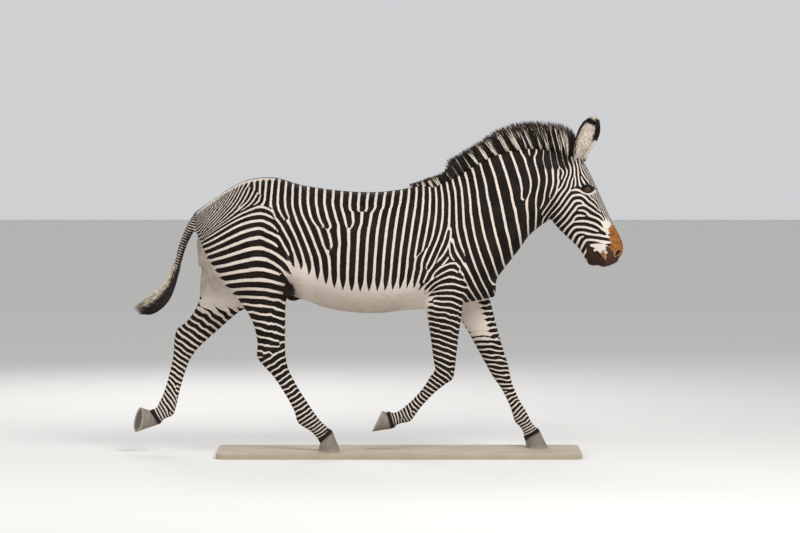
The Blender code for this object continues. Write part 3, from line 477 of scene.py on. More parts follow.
def object_from(name, points, faces):
    """An object of these points and faces, all faces having as many corners."""
    points = np.asarray(points, np.float32)
    faces = np.asarray(faces, np.int32)
    mesh = bpy.data.meshes.new(name)
    mesh.vertices.add(len(points))
    mesh.vertices.foreach_set("co", points.ravel())
    mesh.loops.add(faces.size)
    mesh.loops.foreach_set("vertex_index", faces.ravel())
    mesh.polygons.add(len(faces))
    mesh.polygons.foreach_set("loop_start", np.arange(len(faces), dtype=np.int32) * faces.shape[1])
    mesh.update(calc_edges=True)
    obj = bpy.data.objects.new(name, mesh)
    bpy.context.scene.collection.objects.link(obj)
    return obj


def only(obj):
    """Makes this object the only one selected, and the active one."""
    bpy.ops.object.select_all(action="DESELECT")
    obj.select_set(True)
    bpy.context.view_layer.objects.active = obj


def use(obj, kind, **settings):
    """Adds a modifier to an object and applies it."""
    only(obj)
    modifier = obj.modifiers.new(kind.title(), kind)
    for name, setting in settings.items():
        setattr(modifier, name, setting)
    bpy.ops.object.modifier_apply(modifier=modifier.name)
    return obj


def places_of(obj):
    found = np.empty(len(obj.data.vertices) * 3, np.float32)
    obj.data.vertices.foreach_get("co", found)
    return found.reshape(-1, 3).astype(float)


def move_to(obj, places):
    obj.data.vertices.foreach_set("co", places.astype(np.float32).ravel())
    obj.data.update()


def facings_of(obj):
    found = np.empty(len(obj.data.vertices) * 3, np.float32)
    obj.data.vertex_normals.foreach_get("vector", found)
    return found.reshape(-1, 3).astype(float)


def triangles_of(obj):
    obj.data.calc_loop_triangles()
    found = np.empty(len(obj.data.loop_triangles) * 3, np.int32)
    obj.data.loop_triangles.foreach_get("vertices", found)
    return found.reshape(-1, 3)


def mark(obj, name, numbers, domain="POINT"):
    """Gives each point or corner of an object a number that its finish reads."""
    layer = obj.data.attributes.new(name, "FLOAT", domain)
    layer.data.foreach_set("value", np.asarray(numbers, np.float32))


# ---- the body's form ----


def ring(row, points=LOFT_POINTS, squareness=0.86):
    """One cross-section: an oval from its top or front to its bottom or back, wider at one end."""
    top_x, top_z, low_x, low_z, y, width, spread, turn = row
    middle = np.array([(top_x + low_x) / 2, y, (top_z + low_z) / 2])
    up = np.array([(top_x - low_x) / 2, 0, (top_z - low_z) / 2])
    side = np.array([sin(radians(turn)), cos(radians(turn)), 0]) * width / 2
    angle = np.linspace(0, 2 * pi, points, endpoint=False)
    u = np.sign(np.cos(angle)) * np.abs(np.cos(angle)) ** squareness
    v = np.sign(np.sin(angle)) * np.abs(np.sin(angle)) ** squareness
    return middle + np.outer(u, up) + np.outer(v * (1 - spread * u), side)


def dome(edge, outward):
    """Rings that close an end with a low round cap, the nearest to the edge first."""
    middle = edge.mean(axis=0)
    steps = np.linspace(0, pi / 2, DOME_RINGS + 2)[1:-1]
    return [middle + (edge - middle) * cos(step) + outward * sin(step) for step in steps]


def tube_faces(rings, points):
    """Triangles of a tube of rings with flat ends."""
    i, j = np.meshgrid(np.arange(rings - 1), np.arange(points), indexing="ij")
    a, b = i * points + j, i * points + (j + 1) % points
    sides = np.stack([a, b, b + points, a, b + points, a + points], -1).reshape(-1, 3)
    fan = np.arange(1, points - 1)
    first = np.stack([0 * fan, fan + 1, fan], -1)
    last = np.stack([0 * fan, fan, fan + 1], -1) + (rings - 1) * points
    return np.concatenate([sides, first, last])


def loft(name, rows, round_ends=0.35):
    """A closed skin through cross-sections, with domed ends."""
    rings = [ring(row) for row in smooth_between(rows, LOFT_STEPS)]
    centres = [r.mean(axis=0) for r in rings]
    spans = [np.ptp(r, axis=0).max() / 2 for r in (rings[0], rings[-1])]
    back = centres[0] - centres[1]
    ahead = centres[-1] - centres[-2]
    back *= round_ends * spans[0] / np.linalg.norm(back)
    ahead *= round_ends * spans[1] / np.linalg.norm(ahead)
    rings = dome(rings[0], back)[::-1] + rings + dome(rings[-1], ahead)
    return object_from(name, np.concatenate(rings), tube_faces(len(rings), LOFT_POINTS))


def plain_rows(table):
    """Sections of the trunk, neck, head or tail in the form that `ring` takes."""
    return [(tx, tz, bx, bz, 0.0, width, spread, 0) for tx, tz, bx, bz, width, spread in table]


def leg_joints(kind, side):
    """The joints of a leg from the top, how far out each of them is, and the leg's profile."""
    if kind == "hind":
        joints = (HIP, STIFLE[side], HOCK[side], HIND_FETLOCK[side], HIND_CORONET[side])
        return joints, (HIP_OUT, HIP_OUT, HOCK_OUT, HIND_FOOT_OUT, HIND_FOOT_OUT), HIND_PROFILE
    joints = (SHOULDER[side], ELBOW[side], KNEE[side], FORE_FETLOCK[side], FORE_CORONET[side])
    return joints, (SHOULDER_OUT, SHOULDER_OUT, KNEE_OUT, FORE_FOOT_OUT, FORE_FOOT_OUT), FORE_PROFILE


def leg_chain(kind, side):
    """The joints of a leg as points of the body."""
    joints, outs, _ = leg_joints(kind, side)
    return np.array([(x, side * out, z) for (x, z), out in zip(joints, outs)])


def leg_rows(kind, side):
    """Cross-sections of one leg along its bones, square to them between the joints."""
    joints, outs, profile = leg_joints(kind, side)
    joints = [np.array(j) for j in joints]
    bones = [long_one(b - a) for a, b in zip(joints, joints[1:])]
    rows = []
    for segment, along, front, back, width, stretch in profile:
        point = joints[segment] + (joints[segment + 1] - joints[segment]) * along
        out = outs[segment] + (outs[segment + 1] - outs[segment]) * along
        before = bones[max(segment - 1, 0)]
        after = bones[min(segment + 1, len(bones) - 1)]
        lean = long_one(bones[segment] + before * max(0.5 - along, 0) + after * max(along - 0.5, 0))
        across = np.array([-lean[1], lean[0]])
        top = point + across * front
        low = point - across * (back + stretch * ((kind, side) == TRAILING))
        rows.append((*top, *low, side * out, width, 0.0, 0))
    return rows


def swelling(name, centre, half, lean):
    """An ellipsoid of muscle or bone."""
    bpy.ops.object.select_all(action="DESELECT")
    bpy.ops.mesh.primitive_uv_sphere_add(segments=48, ring_count=32, radius=1.0)
    obj = bpy.context.object
    obj.name = name
    place = Matrix.Translation(centre) @ Matrix.Rotation(radians(lean), 4, "Y")
    obj.data.transform(place @ Matrix.Diagonal((*half, 1.0)))
    return obj


def head_turned(places, back=False):
    """Where points of the head and upper neck go as the head turns aside, or where they came from."""
    share = rise(places[..., 0], TURN_START_X, TURN_END_X)
    angle = HEAD_TURN * share * (-1 if back else 1)
    x, y = places[..., 0] - TURN_AXIS_X, places[..., 1]
    turned = places.copy()
    turned[..., 0] = TURN_AXIS_X + x * np.cos(angle) - y * np.sin(angle)
    turned[..., 1] = x * np.sin(angle) + y * np.cos(angle)
    return turned


def turned(obj):
    move_to(obj, head_turned(places_of(obj)))
    return obj


def crest_rows():
    """The low ridge of flesh that the mane grows from."""
    rows = []
    for x, _, crest in MANE:
        rows.append((x, crest + CREST_RISE, x, crest - 0.05, 0.0, 0.046, -0.25, 0))
    return rows


def ear_frame(side):
    """The sections of an ear, its centre line, the direction along it, and the way the ear faces."""
    rows = smooth_between(EAR, LOFT_STEPS)
    spine = np.array([(x, side * y, z) for x, y, z, _, _ in rows])
    facing = np.array([cos(EAR_FACING), side * sin(EAR_FACING), 0.0])
    return rows, spine, long_one(np.gradient(spine, axis=0)), facing


def ear_curl(side, k):
    """The way an ear opens at its sections number `k`, how far it is rolled there, and its radius."""
    rows, _, axis, facing = ear_frame(side)
    opening = long_one(facing - axis[k] * (axis[k] @ facing)[:, None])
    roll = np.radians(rows[k, 4])
    return opening, roll, rows[k, 3] / 2 / np.sin(np.minimum(roll, pi / 2))


def ear_form(side):
    """A leaf rolled into a tube at its foot and open at the top, with an even wall."""
    rows, spine, axis, facing = ear_frame(side)
    points, places = 40, []
    for point, along, (_, _, _, width, roll) in zip(spine, axis, rows):
        opening = long_one(facing - along * np.dot(facing, along))
        across = np.cross(along, opening)
        roll = radians(roll)
        radius = width / 2 / sin(min(roll, pi / 2))
        angle = np.linspace(-roll, roll, points)[:, None]
        places.append(point + across * radius * np.sin(angle) + opening * radius * (1 - np.cos(angle)))
    i, j = np.meshgrid(np.arange(len(rows) - 1), np.arange(points - 1), indexing="ij")
    a = (i * points + j).reshape(-1)
    faces = np.stack([a, a + 1, a + points + 1, a + points], -1)
    ear = object_from(f"ear_form_{side}", head_turned(np.concatenate(places)), faces)
    return use(ear, "SOLIDIFY", thickness=EAR_THICKNESS, offset=0.0)


def body_forms():
    """Every solid that is joined into the one skin."""
    forms = [loft("trunk_form", plain_rows(TRUNK))]
    forms.append(turned(loft("neck_form", plain_rows(NECK))))
    forms.append(turned(loft("head_form", plain_rows(HEAD))))
    forms.append(turned(loft("crest_form", crest_rows(), round_ends=0.1)))
    forms.append(loft("tail_form", plain_rows(TAIL[:TAIL_FLESH_ROWS])))
    for side in SIDES:
        forms += [loft(f"{kind}_form_{side}", leg_rows(kind, side)) for kind in ("fore", "hind")]
        forms.append(ear_form(side))
    for name, (centre, half, lean) in (("chin", CHIN), ("sheath", SHEATH)):
        forms.append(turned(swelling(f"{name}_form", centre, half, lean)))
    return forms


def body_share(places):
    """How much of the body's softening a point takes: all on the trunk, none on the head, legs and tail."""
    x, z = places[:, 0], places[:, 2]
    below_neck = np.clip((BODY_END_X - x) / BODY_FADE, 0, 1)
    above_legs = np.clip((z - BODY_LOW_Z) / BODY_FADE, 0, 1)
    before_tail = np.clip((x - BODY_START_X) / BODY_FADE, 0, 1)
    return below_neck * above_legs * before_tail


def muscle_height(places, facings):
    """How far each muscle and hollow moves a point, out of or into the body."""
    height = np.zeros(len(places))
    sideways = np.clip(np.abs(facings[:, 1]) * 1.5, 0, 1)
    for x, z, along, across, lean, amount in MUSCLES:
        dx, dz = places[:, 0] - x, places[:, 2] - z
        lean = radians(lean)
        u = (dx * cos(lean) - dz * sin(lean)) / along
        v = (dx * sin(lean) + dz * cos(lean)) / across
        height += amount * np.exp(-u * u - v * v) * sideways
    return height


def grouped(obj, name, shares):
    """A vertex group with a share for each point, in a few even grades."""
    group = obj.vertex_groups.new(name=name)
    grades = np.round(shares * 12) / 12
    for grade in np.unique(grades[grades > 0]):
        group.add(np.flatnonzero(grades == grade).tolist(), float(grade), "REPLACE")
    return name


def one_skin():
    """The forms joined into one closed, softened skin that lies under the coat."""
    forms = body_forms()
    bpy.ops.object.select_all(action="DESELECT")
    for form in forms:
        form.select_set(True)
    bpy.context.view_layer.objects.active = forms[0]
    bpy.ops.object.join()
    skin = forms[0]
    skin.name = skin.data.name = "zebra_skin"
    use(skin, "REMESH", mode="VOXEL", voxel_size=SKIN_VOXEL)
    body = grouped(skin, "body", body_share(places_of(skin)))
    use(skin, "SMOOTH", factor=0.5, iterations=9)
    use(skin, "SMOOTH", factor=0.5, iterations=130, vertex_group=body)
    places, facings = places_of(skin), facings_of(skin)
    out = muscle_height(places, facings) - COAT_DEPTH
    move_to(skin, places + facings * out[:, None])
    return skin


# ---- finer shapes of the head ----

EYE_AXIS = (0.50, 0.85, 0.13)
EYE_SLIT = (0.0225, 0.0125)  # half the length and height of the opening between the lids
EYE_DROP = 0.0015
LID_THICKNESS = 0.0030
NOSTRIL, NOSTRIL_AXIS, NOSTRIL_SIZE = (1.333, 0.050, 1.092), (0.72, 0.66, 0.20), (0.017, 0.0095)
NOSTRIL_DEPTH, NOSTRIL_LEAN = 0.016, 55
MOUTH = ((1.2045, 1.100), (1.2270, 1.079), (1.2470, 1.052), (1.2620, 1.022), (1.2640, 0.990))
HEAD_START, HEAD_END = (1.060, 1.530), (1.290, 1.060)  # the head's own line, from poll to lips


def near_line(places, line):
    """How far points lie, seen from the side, from a line of short straight pieces, and how far along it."""
    here = places[:, [0, 2]]
    best, along = np.full(len(here), 9.0), np.zeros(len(here))
    for i, (start, end) in enumerate(zip(line, line[1:])):
        start, span = np.array(start), np.array(end) - start
        share = np.clip((here - start) @ span / (span @ span), 0, 1)
        gap = np.linalg.norm(here - start - share[:, None] * span, axis=1)
        closer = gap < best
        best[closer], along[closer] = gap[closer], i + share[closer]
    return best, along


def local_axes(axis, side, lean=0.0):
    """Three directions at a feature of the head: along it, across it and out of the head."""
    out = long_one(on_side(axis, side))
    up = np.array([sin(radians(lean)), 0.0, cos(radians(lean))])
    up = long_one(up - out * (out @ up))
    return np.cross(up, out), up, out


def on_side(place, side):
    """A place or direction told for the left side, as it is on this side."""
    return np.array([place[0], side * place[1], place[2]])


def eye_middle(side):
    return on_side(EYE_CENTRE, side)


def lid_share(places, side):
    """How far out from an eye's opening each point is: 0 at its middle, 1 at the edge of the lids."""
    along, up, out = local_axes(EYE_AXIS, side)
    here = places - eye_middle(side)
    s, t = here @ along, here @ up + EYE_DROP
    share = np.abs(s / EYE_SLIT[0]) ** LID_ROUNDNESS + np.abs(t / EYE_SLIT[1]) ** LID_ROUNDNESS
    share = share ** (1 / LID_ROUNDNESS)
    return np.where(here @ out > 0, share, 9.0), s, t


def nostril_share(places, side):
    """How far out from the middle of a nostril each point is, 1 at its edge, and the way out of the head."""
    along, up, out = local_axes(NOSTRIL_AXIS, side, NOSTRIL_LEAN)
    here = places - on_side(NOSTRIL, side)
    s, t = here @ up, here @ along
    t = t - 0.18 * s * s / NOSTRIL_SIZE[0]
    share = np.sqrt((s / NOSTRIL_SIZE[0]) ** 2 + (t / NOSTRIL_SIZE[1]) ** 2)
    return np.where(np.abs(here @ out) < 0.03, share, 9.0), out


def refine(skin, wanted):
    """Splits the faces whose points are wanted into smaller ones."""
    shape = bmesh.new()
    shape.from_mesh(skin.data)
    shape.verts.ensure_lookup_table()
    edges = [e for e in shape.edges if wanted[e.verts[0].index] and wanted[e.verts[1].index]]
    bmesh.ops.subdivide_edges(shape, edges=edges, cuts=1, use_grid_fill=True)
    bmesh.ops.triangulate(shape, faces=[f for f in shape.faces if len(f.verts) > 3])
    shape.to_mesh(skin.data)
    shape.free()
    skin.data.update()


def features_near(places):
    """The points close to an eye, a nostril or the mouth."""
    places = head_turned(places, back=True)
    near = near_line(places, MOUTH)[0] < 0.011
    for side in SIDES:
        near |= np.linalg.norm(places - eye_middle(side), axis=1) < 0.042
        near |= nostril_share(places, side)[0] < 1.9
    return near & (places[:, 0] > 1.10)


def shape_eye(places, side):
    """Draws the skin round an eyeball into two lids with an opening between them."""
    share, s, t = lid_share(places, side)
    near = share < 3.2
    along, up, out = local_axes(EYE_AXIS, side)
    edge = near & (np.abs(share - 1) < 0.13)
    pull = np.where(edge, 1 / share, 1.0)
    s, t = s * pull, t * pull
    share = np.where(edge, 1.0, share)
    flat = s * s + (t - EYE_DROP) ** 2
    inside = np.sqrt(np.maximum((EYE_RADIUS - 0.006) ** 2 - flat, 0))
    on_lid = np.sqrt(np.maximum((EYE_RADIUS + LID_THICKNESS) ** 2 - flat, 0))
    height = (places - eye_middle(side)) @ out
    brow = 0.0035 * np.exp(-(((t - 0.017) / 0.006) ** 2)) * np.exp(-((s / 0.024) ** 2))
    crease = -0.0016 * np.exp(-(((share - 1.75) / 0.16) ** 2)) * (t > 0)
    lid = on_lid + (height + brow - on_lid) * rise(share, 1.15, 2.6) + crease
    height = np.where(share < 0.97, inside, lid)
    moved = eye_middle(side) + np.outer(s, along) + np.outer(t - EYE_DROP, up) + np.outer(height, out)
    return np.where(near[:, None], moved, places)


def shape_head(skin):
    """The lids, nostrils and mouth."""
    for _ in range(2):
        refine(skin, features_near(places_of(skin)))
    facings = facings_of(skin)
    places = head_turned(places_of(skin), back=True)
    for side in SIDES:
        share, out = nostril_share(places, side)
        pit = -NOSTRIL_DEPTH * (1 - rise(share, 0.55, 1.05))
        rim = 0.0032 * np.exp(-(((share - 1.35) / 0.32) ** 2))
        places = places + np.outer(pit + rim, out)
    gap, along = near_line(places, MOUTH)
    mouth = -0.0055 * np.exp(-((gap / 0.0026) ** 2)) * rise(along, -0.1, 0.5)
    lips = 0.0022 * np.exp(-(((gap - 0.009) / 0.006) ** 2)) * rise(along, 0.2, 1.5)
    moved = head_turned(head_turned(places) + facings * (mouth + lips)[:, None], back=True)
    for side in SIDES:
        moved = shape_eye(moved, side)
    move_to(skin, head_turned(moved))


def behind_thigh(places):
    """How surely each point lies past the rear edge of the right thigh, where the plain skin begins."""
    x, y, z = places.T
    past = (-1.0 + (1.198 - z) * 0.675 - x) * 0.83
    near = rise(-y, -0.02, 0.03) * rise(z, 0.80, 0.88) * fall(z, 1.150, 1.205)
    return near * rise(past, 0.0, 0.022) * (x > -1.06)


def between_thighs(places):
    """How surely each point lies in the plain strip below the root of the tail, between the two thighs."""
    x, y, z = places.T
    far_edge = 0.140 + 0.02 * fall(z, 0.95, 1.05)
    across = rise(y, -0.040, -0.020) * rise(far_edge - y, 0.0, 0.022)
    return across * rise(z, 0.82, 0.87) * fall(z, 1.225, 1.265) * rise(-x, 0.76, 0.80)


def shape_thigh(skin):
    """Sets the skin behind the right thigh in, to give the thigh a rear edge, and rounds the left buttock."""
    places = places_of(skin)
    x, y, z = places.T
    beyond = np.maximum(-1.004 + (1.22 - z) * 0.112 - x, 0)
    fade = fall(z, 1.100, 1.150) * rise(z, 0.90, 0.95) * rise(y, -0.06, -0.02)
    fade *= x > -1.030
    places[:, 0] += 0.9 * beyond * fade
    off_tail = rise(-np.abs(places[:, 1] + 0.17), -0.17, -0.10)
    places[:, 1] += 0.026 * behind_thigh(places) * off_tail
    move_to(skin, places)


# ---- where on the body a point is ----


def ends_between(corners):
    """Each edge of a net of triangles once, as pairs of points."""
    pairs = np.concatenate([corners[:, [0, 1]], corners[:, [1, 2]], corners[:, [2, 0]]])
    return np.unique(np.sort(pairs, axis=1), axis=0)


def leg_places(places):
    """Each point's nearest leg, how far down it, the way of its bone, how sure, and how far inside."""
    best = np.full(len(places), 9.0)
    along, bone = np.zeros(len(places)), np.zeros((len(places), 3))
    which, inner = np.full(len(places), -1), np.zeros(len(places))
    for number, (kind, side) in enumerate(LEGS):
        chain, profile = leg_chain(kind, side), leg_joints(kind, side)[2]
        at, half = [s + a for s, a, *_ in profile], [(p[2] + p[3]) / 2 for p in profile]
        widths = np.interp(np.arange(5), at, half)
        for i in range(4):
            span = chain[i + 1] - chain[i]
            share = np.clip((places - chain[i]) @ span / (span @ span), 0, 1)
            off = places - chain[i] - share[:, None] * span
            thick = widths[i] + (widths[i + 1] - widths[i]) * share
            gap = np.linalg.norm(off, axis=1) / thick
            closer = gap < best
            here = share[:, None]
            after = long_one(chain[min(i + 2, 4)] - chain[min(i + 1, 3)])
            before = long_one(chain[i] - chain[i - 1] if i else span)
            way = long_one(span)
            lean = way + before * np.maximum(0.5 - here, 0) + after * np.maximum(here - 0.5, 0)
            best[closer], along[closer], which[closer] = gap[closer], (i + share)[closer], number
            bone[closer] = long_one(lean)[closer]
            ahead = off @ np.array((-way[2], 0.0, way[0])) * 0.85 * (kind == "fore")
            inner[closer] = ((-side * off[:, 1] - np.maximum(ahead, 0)) / thick)[closer]
    sure = fall(places[:, 2], 0.78, 0.88) * fall(best, 1.35, 1.9)
    return which, along, bone, sure, inner


def tail_place(places):
    """The tail's direction nearest to each point, and how surely the point is on the tail."""
    line = np.array([((tx + bx) / 2, 0.0, (tz + bz) / 2) for tx, tz, bx, bz, _, _ in TAIL])
    gap = np.linalg.norm(places[:, None, :] - line[None, 1:], axis=2)
    bone = long_one(np.gradient(line, axis=0)[gap.argmin(1) + 1])
    return bone, fall(gap.min(1), 0.045, 0.075) * rise(-places[:, 0], 0.985, 1.02)


LEGS = (("fore", RIGHT), ("fore", LEFT), ("hind", RIGHT), ("hind", LEFT))


# ---- the stripes ----


def guide_lie(places):
    """The way a stripe runs and the spacing, from the guides near each point, as the side view shows them."""
    rows = np.array([row for region in STRIPES.values() for row in region], float)
    double = np.radians(rows[:, 2]) * 2
    told = np.stack([np.cos(double), np.sin(double), np.log(rows[:, 3] / 1000)], -1)
    found = np.zeros((len(places), 3))
    total = np.zeros(len(places))
    for (x, z, _, _), row in zip(rows, told):
        weight = 1 / ((places[:, 0] - x) ** 2 + (places[:, 2] - z) ** 2 + 0.018**2) ** 2
        found += weight[:, None] * row
        total += weight
    found /= total[:, None]
    return np.arctan2(found[:, 1], found[:, 0]) / 2, np.exp(found[:, 2])


def on_skin(directions, facings):
    """Directions laid flat on the skin, of length one."""
    flat = directions - facings * (directions * facings).sum(1)[:, None]
    return flat / np.maximum(np.linalg.norm(flat, axis=1), 1e-6)[:, None]


def tensors(directions, weights):
    return np.einsum("ni,nj->nij", directions, directions) * weights[:, None, None]


def head_line():
    """The direction from the poll to the lips."""
    return long_one(np.array([HEAD_END[0] - HEAD_START[0], 0, HEAD_END[1] - HEAD_START[1]]))


def forward(own):
    """How far towards the head a point lies, along a line that rises as the neck does."""
    return own[:, 0] + (own[:, 2] - 1.5) * 0.25


def stripe_waves(places, facings, edges, legs):
    """At each point the direction across the stripes, times how fast they follow each other."""
    own = head_turned(places, back=True)
    lie, spacing = guide_lie(own)
    across = np.stack([np.sin(lie), 0 * lie, -np.cos(lie)], -1)
    flat = across - facings * (across * facings).sum(1)[:, None]
    lying = np.linalg.norm(flat, axis=1)
    across = on_skin(across, facings)
    pull = tensors(across, rise(lying, 0.15, 0.6) + 0.02)

    front = np.array([-head_line()[2], 0, head_line()[0]])
    front_share = rise(facings @ front, 0.62, 0.86) * rise(own[:, 0] - own[:, 2] * 0.25, 0.74, 0.80)
    around = on_skin(np.cross(facings, head_line()), facings)
    pull += tensors(around, front_share * 4) - pull * front_share[:, None, None]
    spacing = spacing ** (1 - front_share) * FACE_SPACING**front_share

    bone, on_tail = tail_place(places)
    pull = pull * (1 - on_tail)[:, None, None] + tensors(on_skin(bone, facings), on_tail)
    spacing = spacing ** (1 - on_tail) * TAIL_SPACING**on_tail

    which, along, bone, sure, _ = legs
    slope = 0.10 * np.sin(along * 19 + which)
    for number, leg in enumerate(LEGS):
        mine = which == number
        slope[mine] += np.interp(along[mine], *np.array(LEG_SLOPES[leg]).T)
    bone = bone + slope[:, None] * np.cross((0.0, 1.0, 0.0), bone)
    pull = pull * (1 - sure)[:, None, None] + tensors(on_skin(bone, facings), sure)
    for number, (kind, side) in enumerate(LEGS):
        mine = which == number
        table = np.array(LEG_STRIPES[kind])
        told = np.interp(along[mine], table[:, 0], table[:, 1]) / 1000
        told *= TRAILING_CROWDING if (kind, side) == TRAILING else 1
        spacing[mine] = spacing[mine] ** (1 - sure[mine]) * told ** sure[mine]

    pull, spacing = settled(pull, np.log(spacing), edges)
    across = on_skin(np.linalg.eigh(pull)[1][:, :, 2], facings)
    return across * (2 * pi / np.exp(spacing))[:, None], np.exp(spacing)


def settled(pull, spacing, edges, rounds=10):
    """Evens out directions and spacings between neighbouring points."""
    a, b = edges.T
    count = len(spacing)
    fields = np.concatenate([pull.reshape(count, 9), spacing[:, None]], axis=1)
    degree = np.bincount(a, minlength=count) + np.bincount(b, minlength=count) + 1.0
    for _ in range(rounds):
        for k in (0, 1, 2, 4, 5, 8, 9):
            field = fields[:, k]
            total = field + np.bincount(a, field[b], count) + np.bincount(b, field[a], count)
            fields[:, k] = total / degree
    for k, same in ((3, 1), (6, 2), (7, 5)):
        fields[:, k] = fields[:, same]
    return fields[:, :9].reshape(count, 3, 3), fields[:, 9]


class Net:
    """What each point of the skin makes of its neighbours' place in the stripes."""

    def __init__(self, places, waves, edges):
        a, b = edges.T
        sign = np.where((waves[a] * waves[b]).sum(1) < 0, -1.0, 1.0)
        step = ((waves[a] + sign[:, None] * waves[b]) / 2 * (places[b] - places[a])).sum(1)
        taker = np.concatenate([a, b])
        order = np.argsort(taker, kind="stable")
        self.giver = np.concatenate([b, a])[order]
        self.sign = np.concatenate([sign, sign])[order]
        self.factor = np.exp(1j * np.concatenate([-step, np.where(sign < 0, -step, step)]))[order]
        self.starts = np.searchsorted(taker[order], np.arange(len(places)))
        self.degree = np.bincount(taker, minlength=len(places)).astype(float)

    def gathered(self, turn):
        """The sum of what each point's neighbours tell it."""
        told = turn[self.giver]
        told.imag *= self.sign
        told *= self.factor
        return np.add.reduceat(told, self.starts)

    def spread(self, turn, reach, rounds=110):
        """Evens the places in the stripes out over about `reach` edges, by conjugate gradients."""
        hold = self.degree / reach**2
        aim = hold * turn
        left = aim - ((self.degree + hold) * turn - self.gathered(turn))
        scaled = left / self.degree
        way, size = scaled, np.vdot(left, scaled).real
        for _ in range(rounds):
            moved = (self.degree + hold) * way - self.gathered(way)
            step = size / np.vdot(way, moved).real
            turn, left = turn + step * way, left - step * moved
            scaled = left / self.degree
            size, before = np.vdot(left, scaled).real, size
            way = scaled + size / before * way
        return unit(turn)


def unit(turn):
    size = np.abs(turn)
    return np.where(size > 1e-12, turn / np.maximum(size, 1e-12), 1.0)


def stripe_turns(places, waves, edges, start):
    """Which part of a stripe each point is on, so that stripes run on and fork as real ones do."""
    net = Net(places, waves, edges)
    turn = np.zeros(len(places), complex)
    turn[start] = 1.0
    known = turn != 0
    while True:
        reached = net.gathered(turn)
        fresh = ~known & (np.abs(reached) > 1e-9)
        if not fresh.any():
            break
        turn[fresh] = unit(reached[fresh])
        known |= fresh
    for reach in (60, 30, 15):
        turn = net.spread(turn, reach)
    for _ in range(8):
        turn = unit(net.gathered(turn))
    return turn


def wavering(turn, places, waves, legs):
    """Lets the stripes of the legs waver, as they do where the skin folds and stretches."""
    _, _, bone, sure, _ = legs
    x, y, z = places.T
    waver = 0.75 * np.sin(x * 66 + y * 40 + 1) * np.sin(z * 52 + y * 50)
    waver += 0.35 * np.sin(z * 118 + x * 92 + y * 80)
    return turn * np.exp(1j * waver * sure * np.sign((waves * bone).sum(1)))


def corner_turns(corners, places, waves, turn):
    """The part of a stripe at each corner of each face, running on evenly inside the face."""
    first = corners[:, 0]
    angle = np.angle(turn)
    out = [angle[first]]
    for other in (corners[:, 1], corners[:, 2]):
        sign = np.where((waves[first] * waves[other]).sum(1) < 0, -1.0, 1.0)
        step = ((waves[first] + sign[:, None] * waves[other]) / 2 * (places[other] - places[first])).sum(1)
        off = sign * angle[other] - angle[first] - step
        off -= 2 * pi * np.round(off / (2 * pi))
        out.append(angle[first] + step + off)
    return np.stack(out, -1) / (2 * pi)


# ---- finishes ----

CREAM, BLACK = (0.625, 0.540, 0.468), (0.0065, 0.0042, 0.0030)


def ear_marks(own, facings, side):
    """Points near an ear, how surely on it, how far up and round it (front -1, rear 1), and if inside it."""
    rows, spine, axis, _ = ear_frame(side)
    near = np.flatnonzero((own[:, 2] > 1.56) & (own[:, 1] * side > 0.01) & (own[:, 0] > 1.03))
    here = own[near]
    k = np.abs(((here[:, None] - spine[None]) * axis[None]).sum(2)).argmin(1)
    opening, roll, radius = ear_curl(side, k)
    off = here - (spine[k] + opening * radius[:, None])
    across = (off * np.cross(axis[k], opening)).sum(1)
    round_share = np.arctan2(across * side, -(off * opening).sum(1)) / roll
    flat = off - axis[k] * (off * axis[k]).sum(1)[:, None]
    gap = np.abs(np.linalg.norm(flat, axis=1) - radius)
    up = k / (len(rows) - 1)
    sure = fall(gap, 0.010, 0.016) * rise(up, 0.04, 0.12)
    inward = (facings[near] * -off).sum(1) / np.maximum(np.linalg.norm(off, axis=1), 1e-6)
    return near, sure, up, round_share, rise(inward, -0.1, 0.3)


def ear_rim(up, round_share, start, end):
    """The dark edge of an ear: down its rear side, down the upper half of its front, and round its top."""
    rear = rise(round_share, 0.93 - up * 0.75, 1.03 - up * 0.75)
    ahead = rise(-round_share, 0.72, 0.84) * rise(up, 0.40, 0.50)
    return np.maximum(np.maximum(rear, ahead), rise(up, start, end))


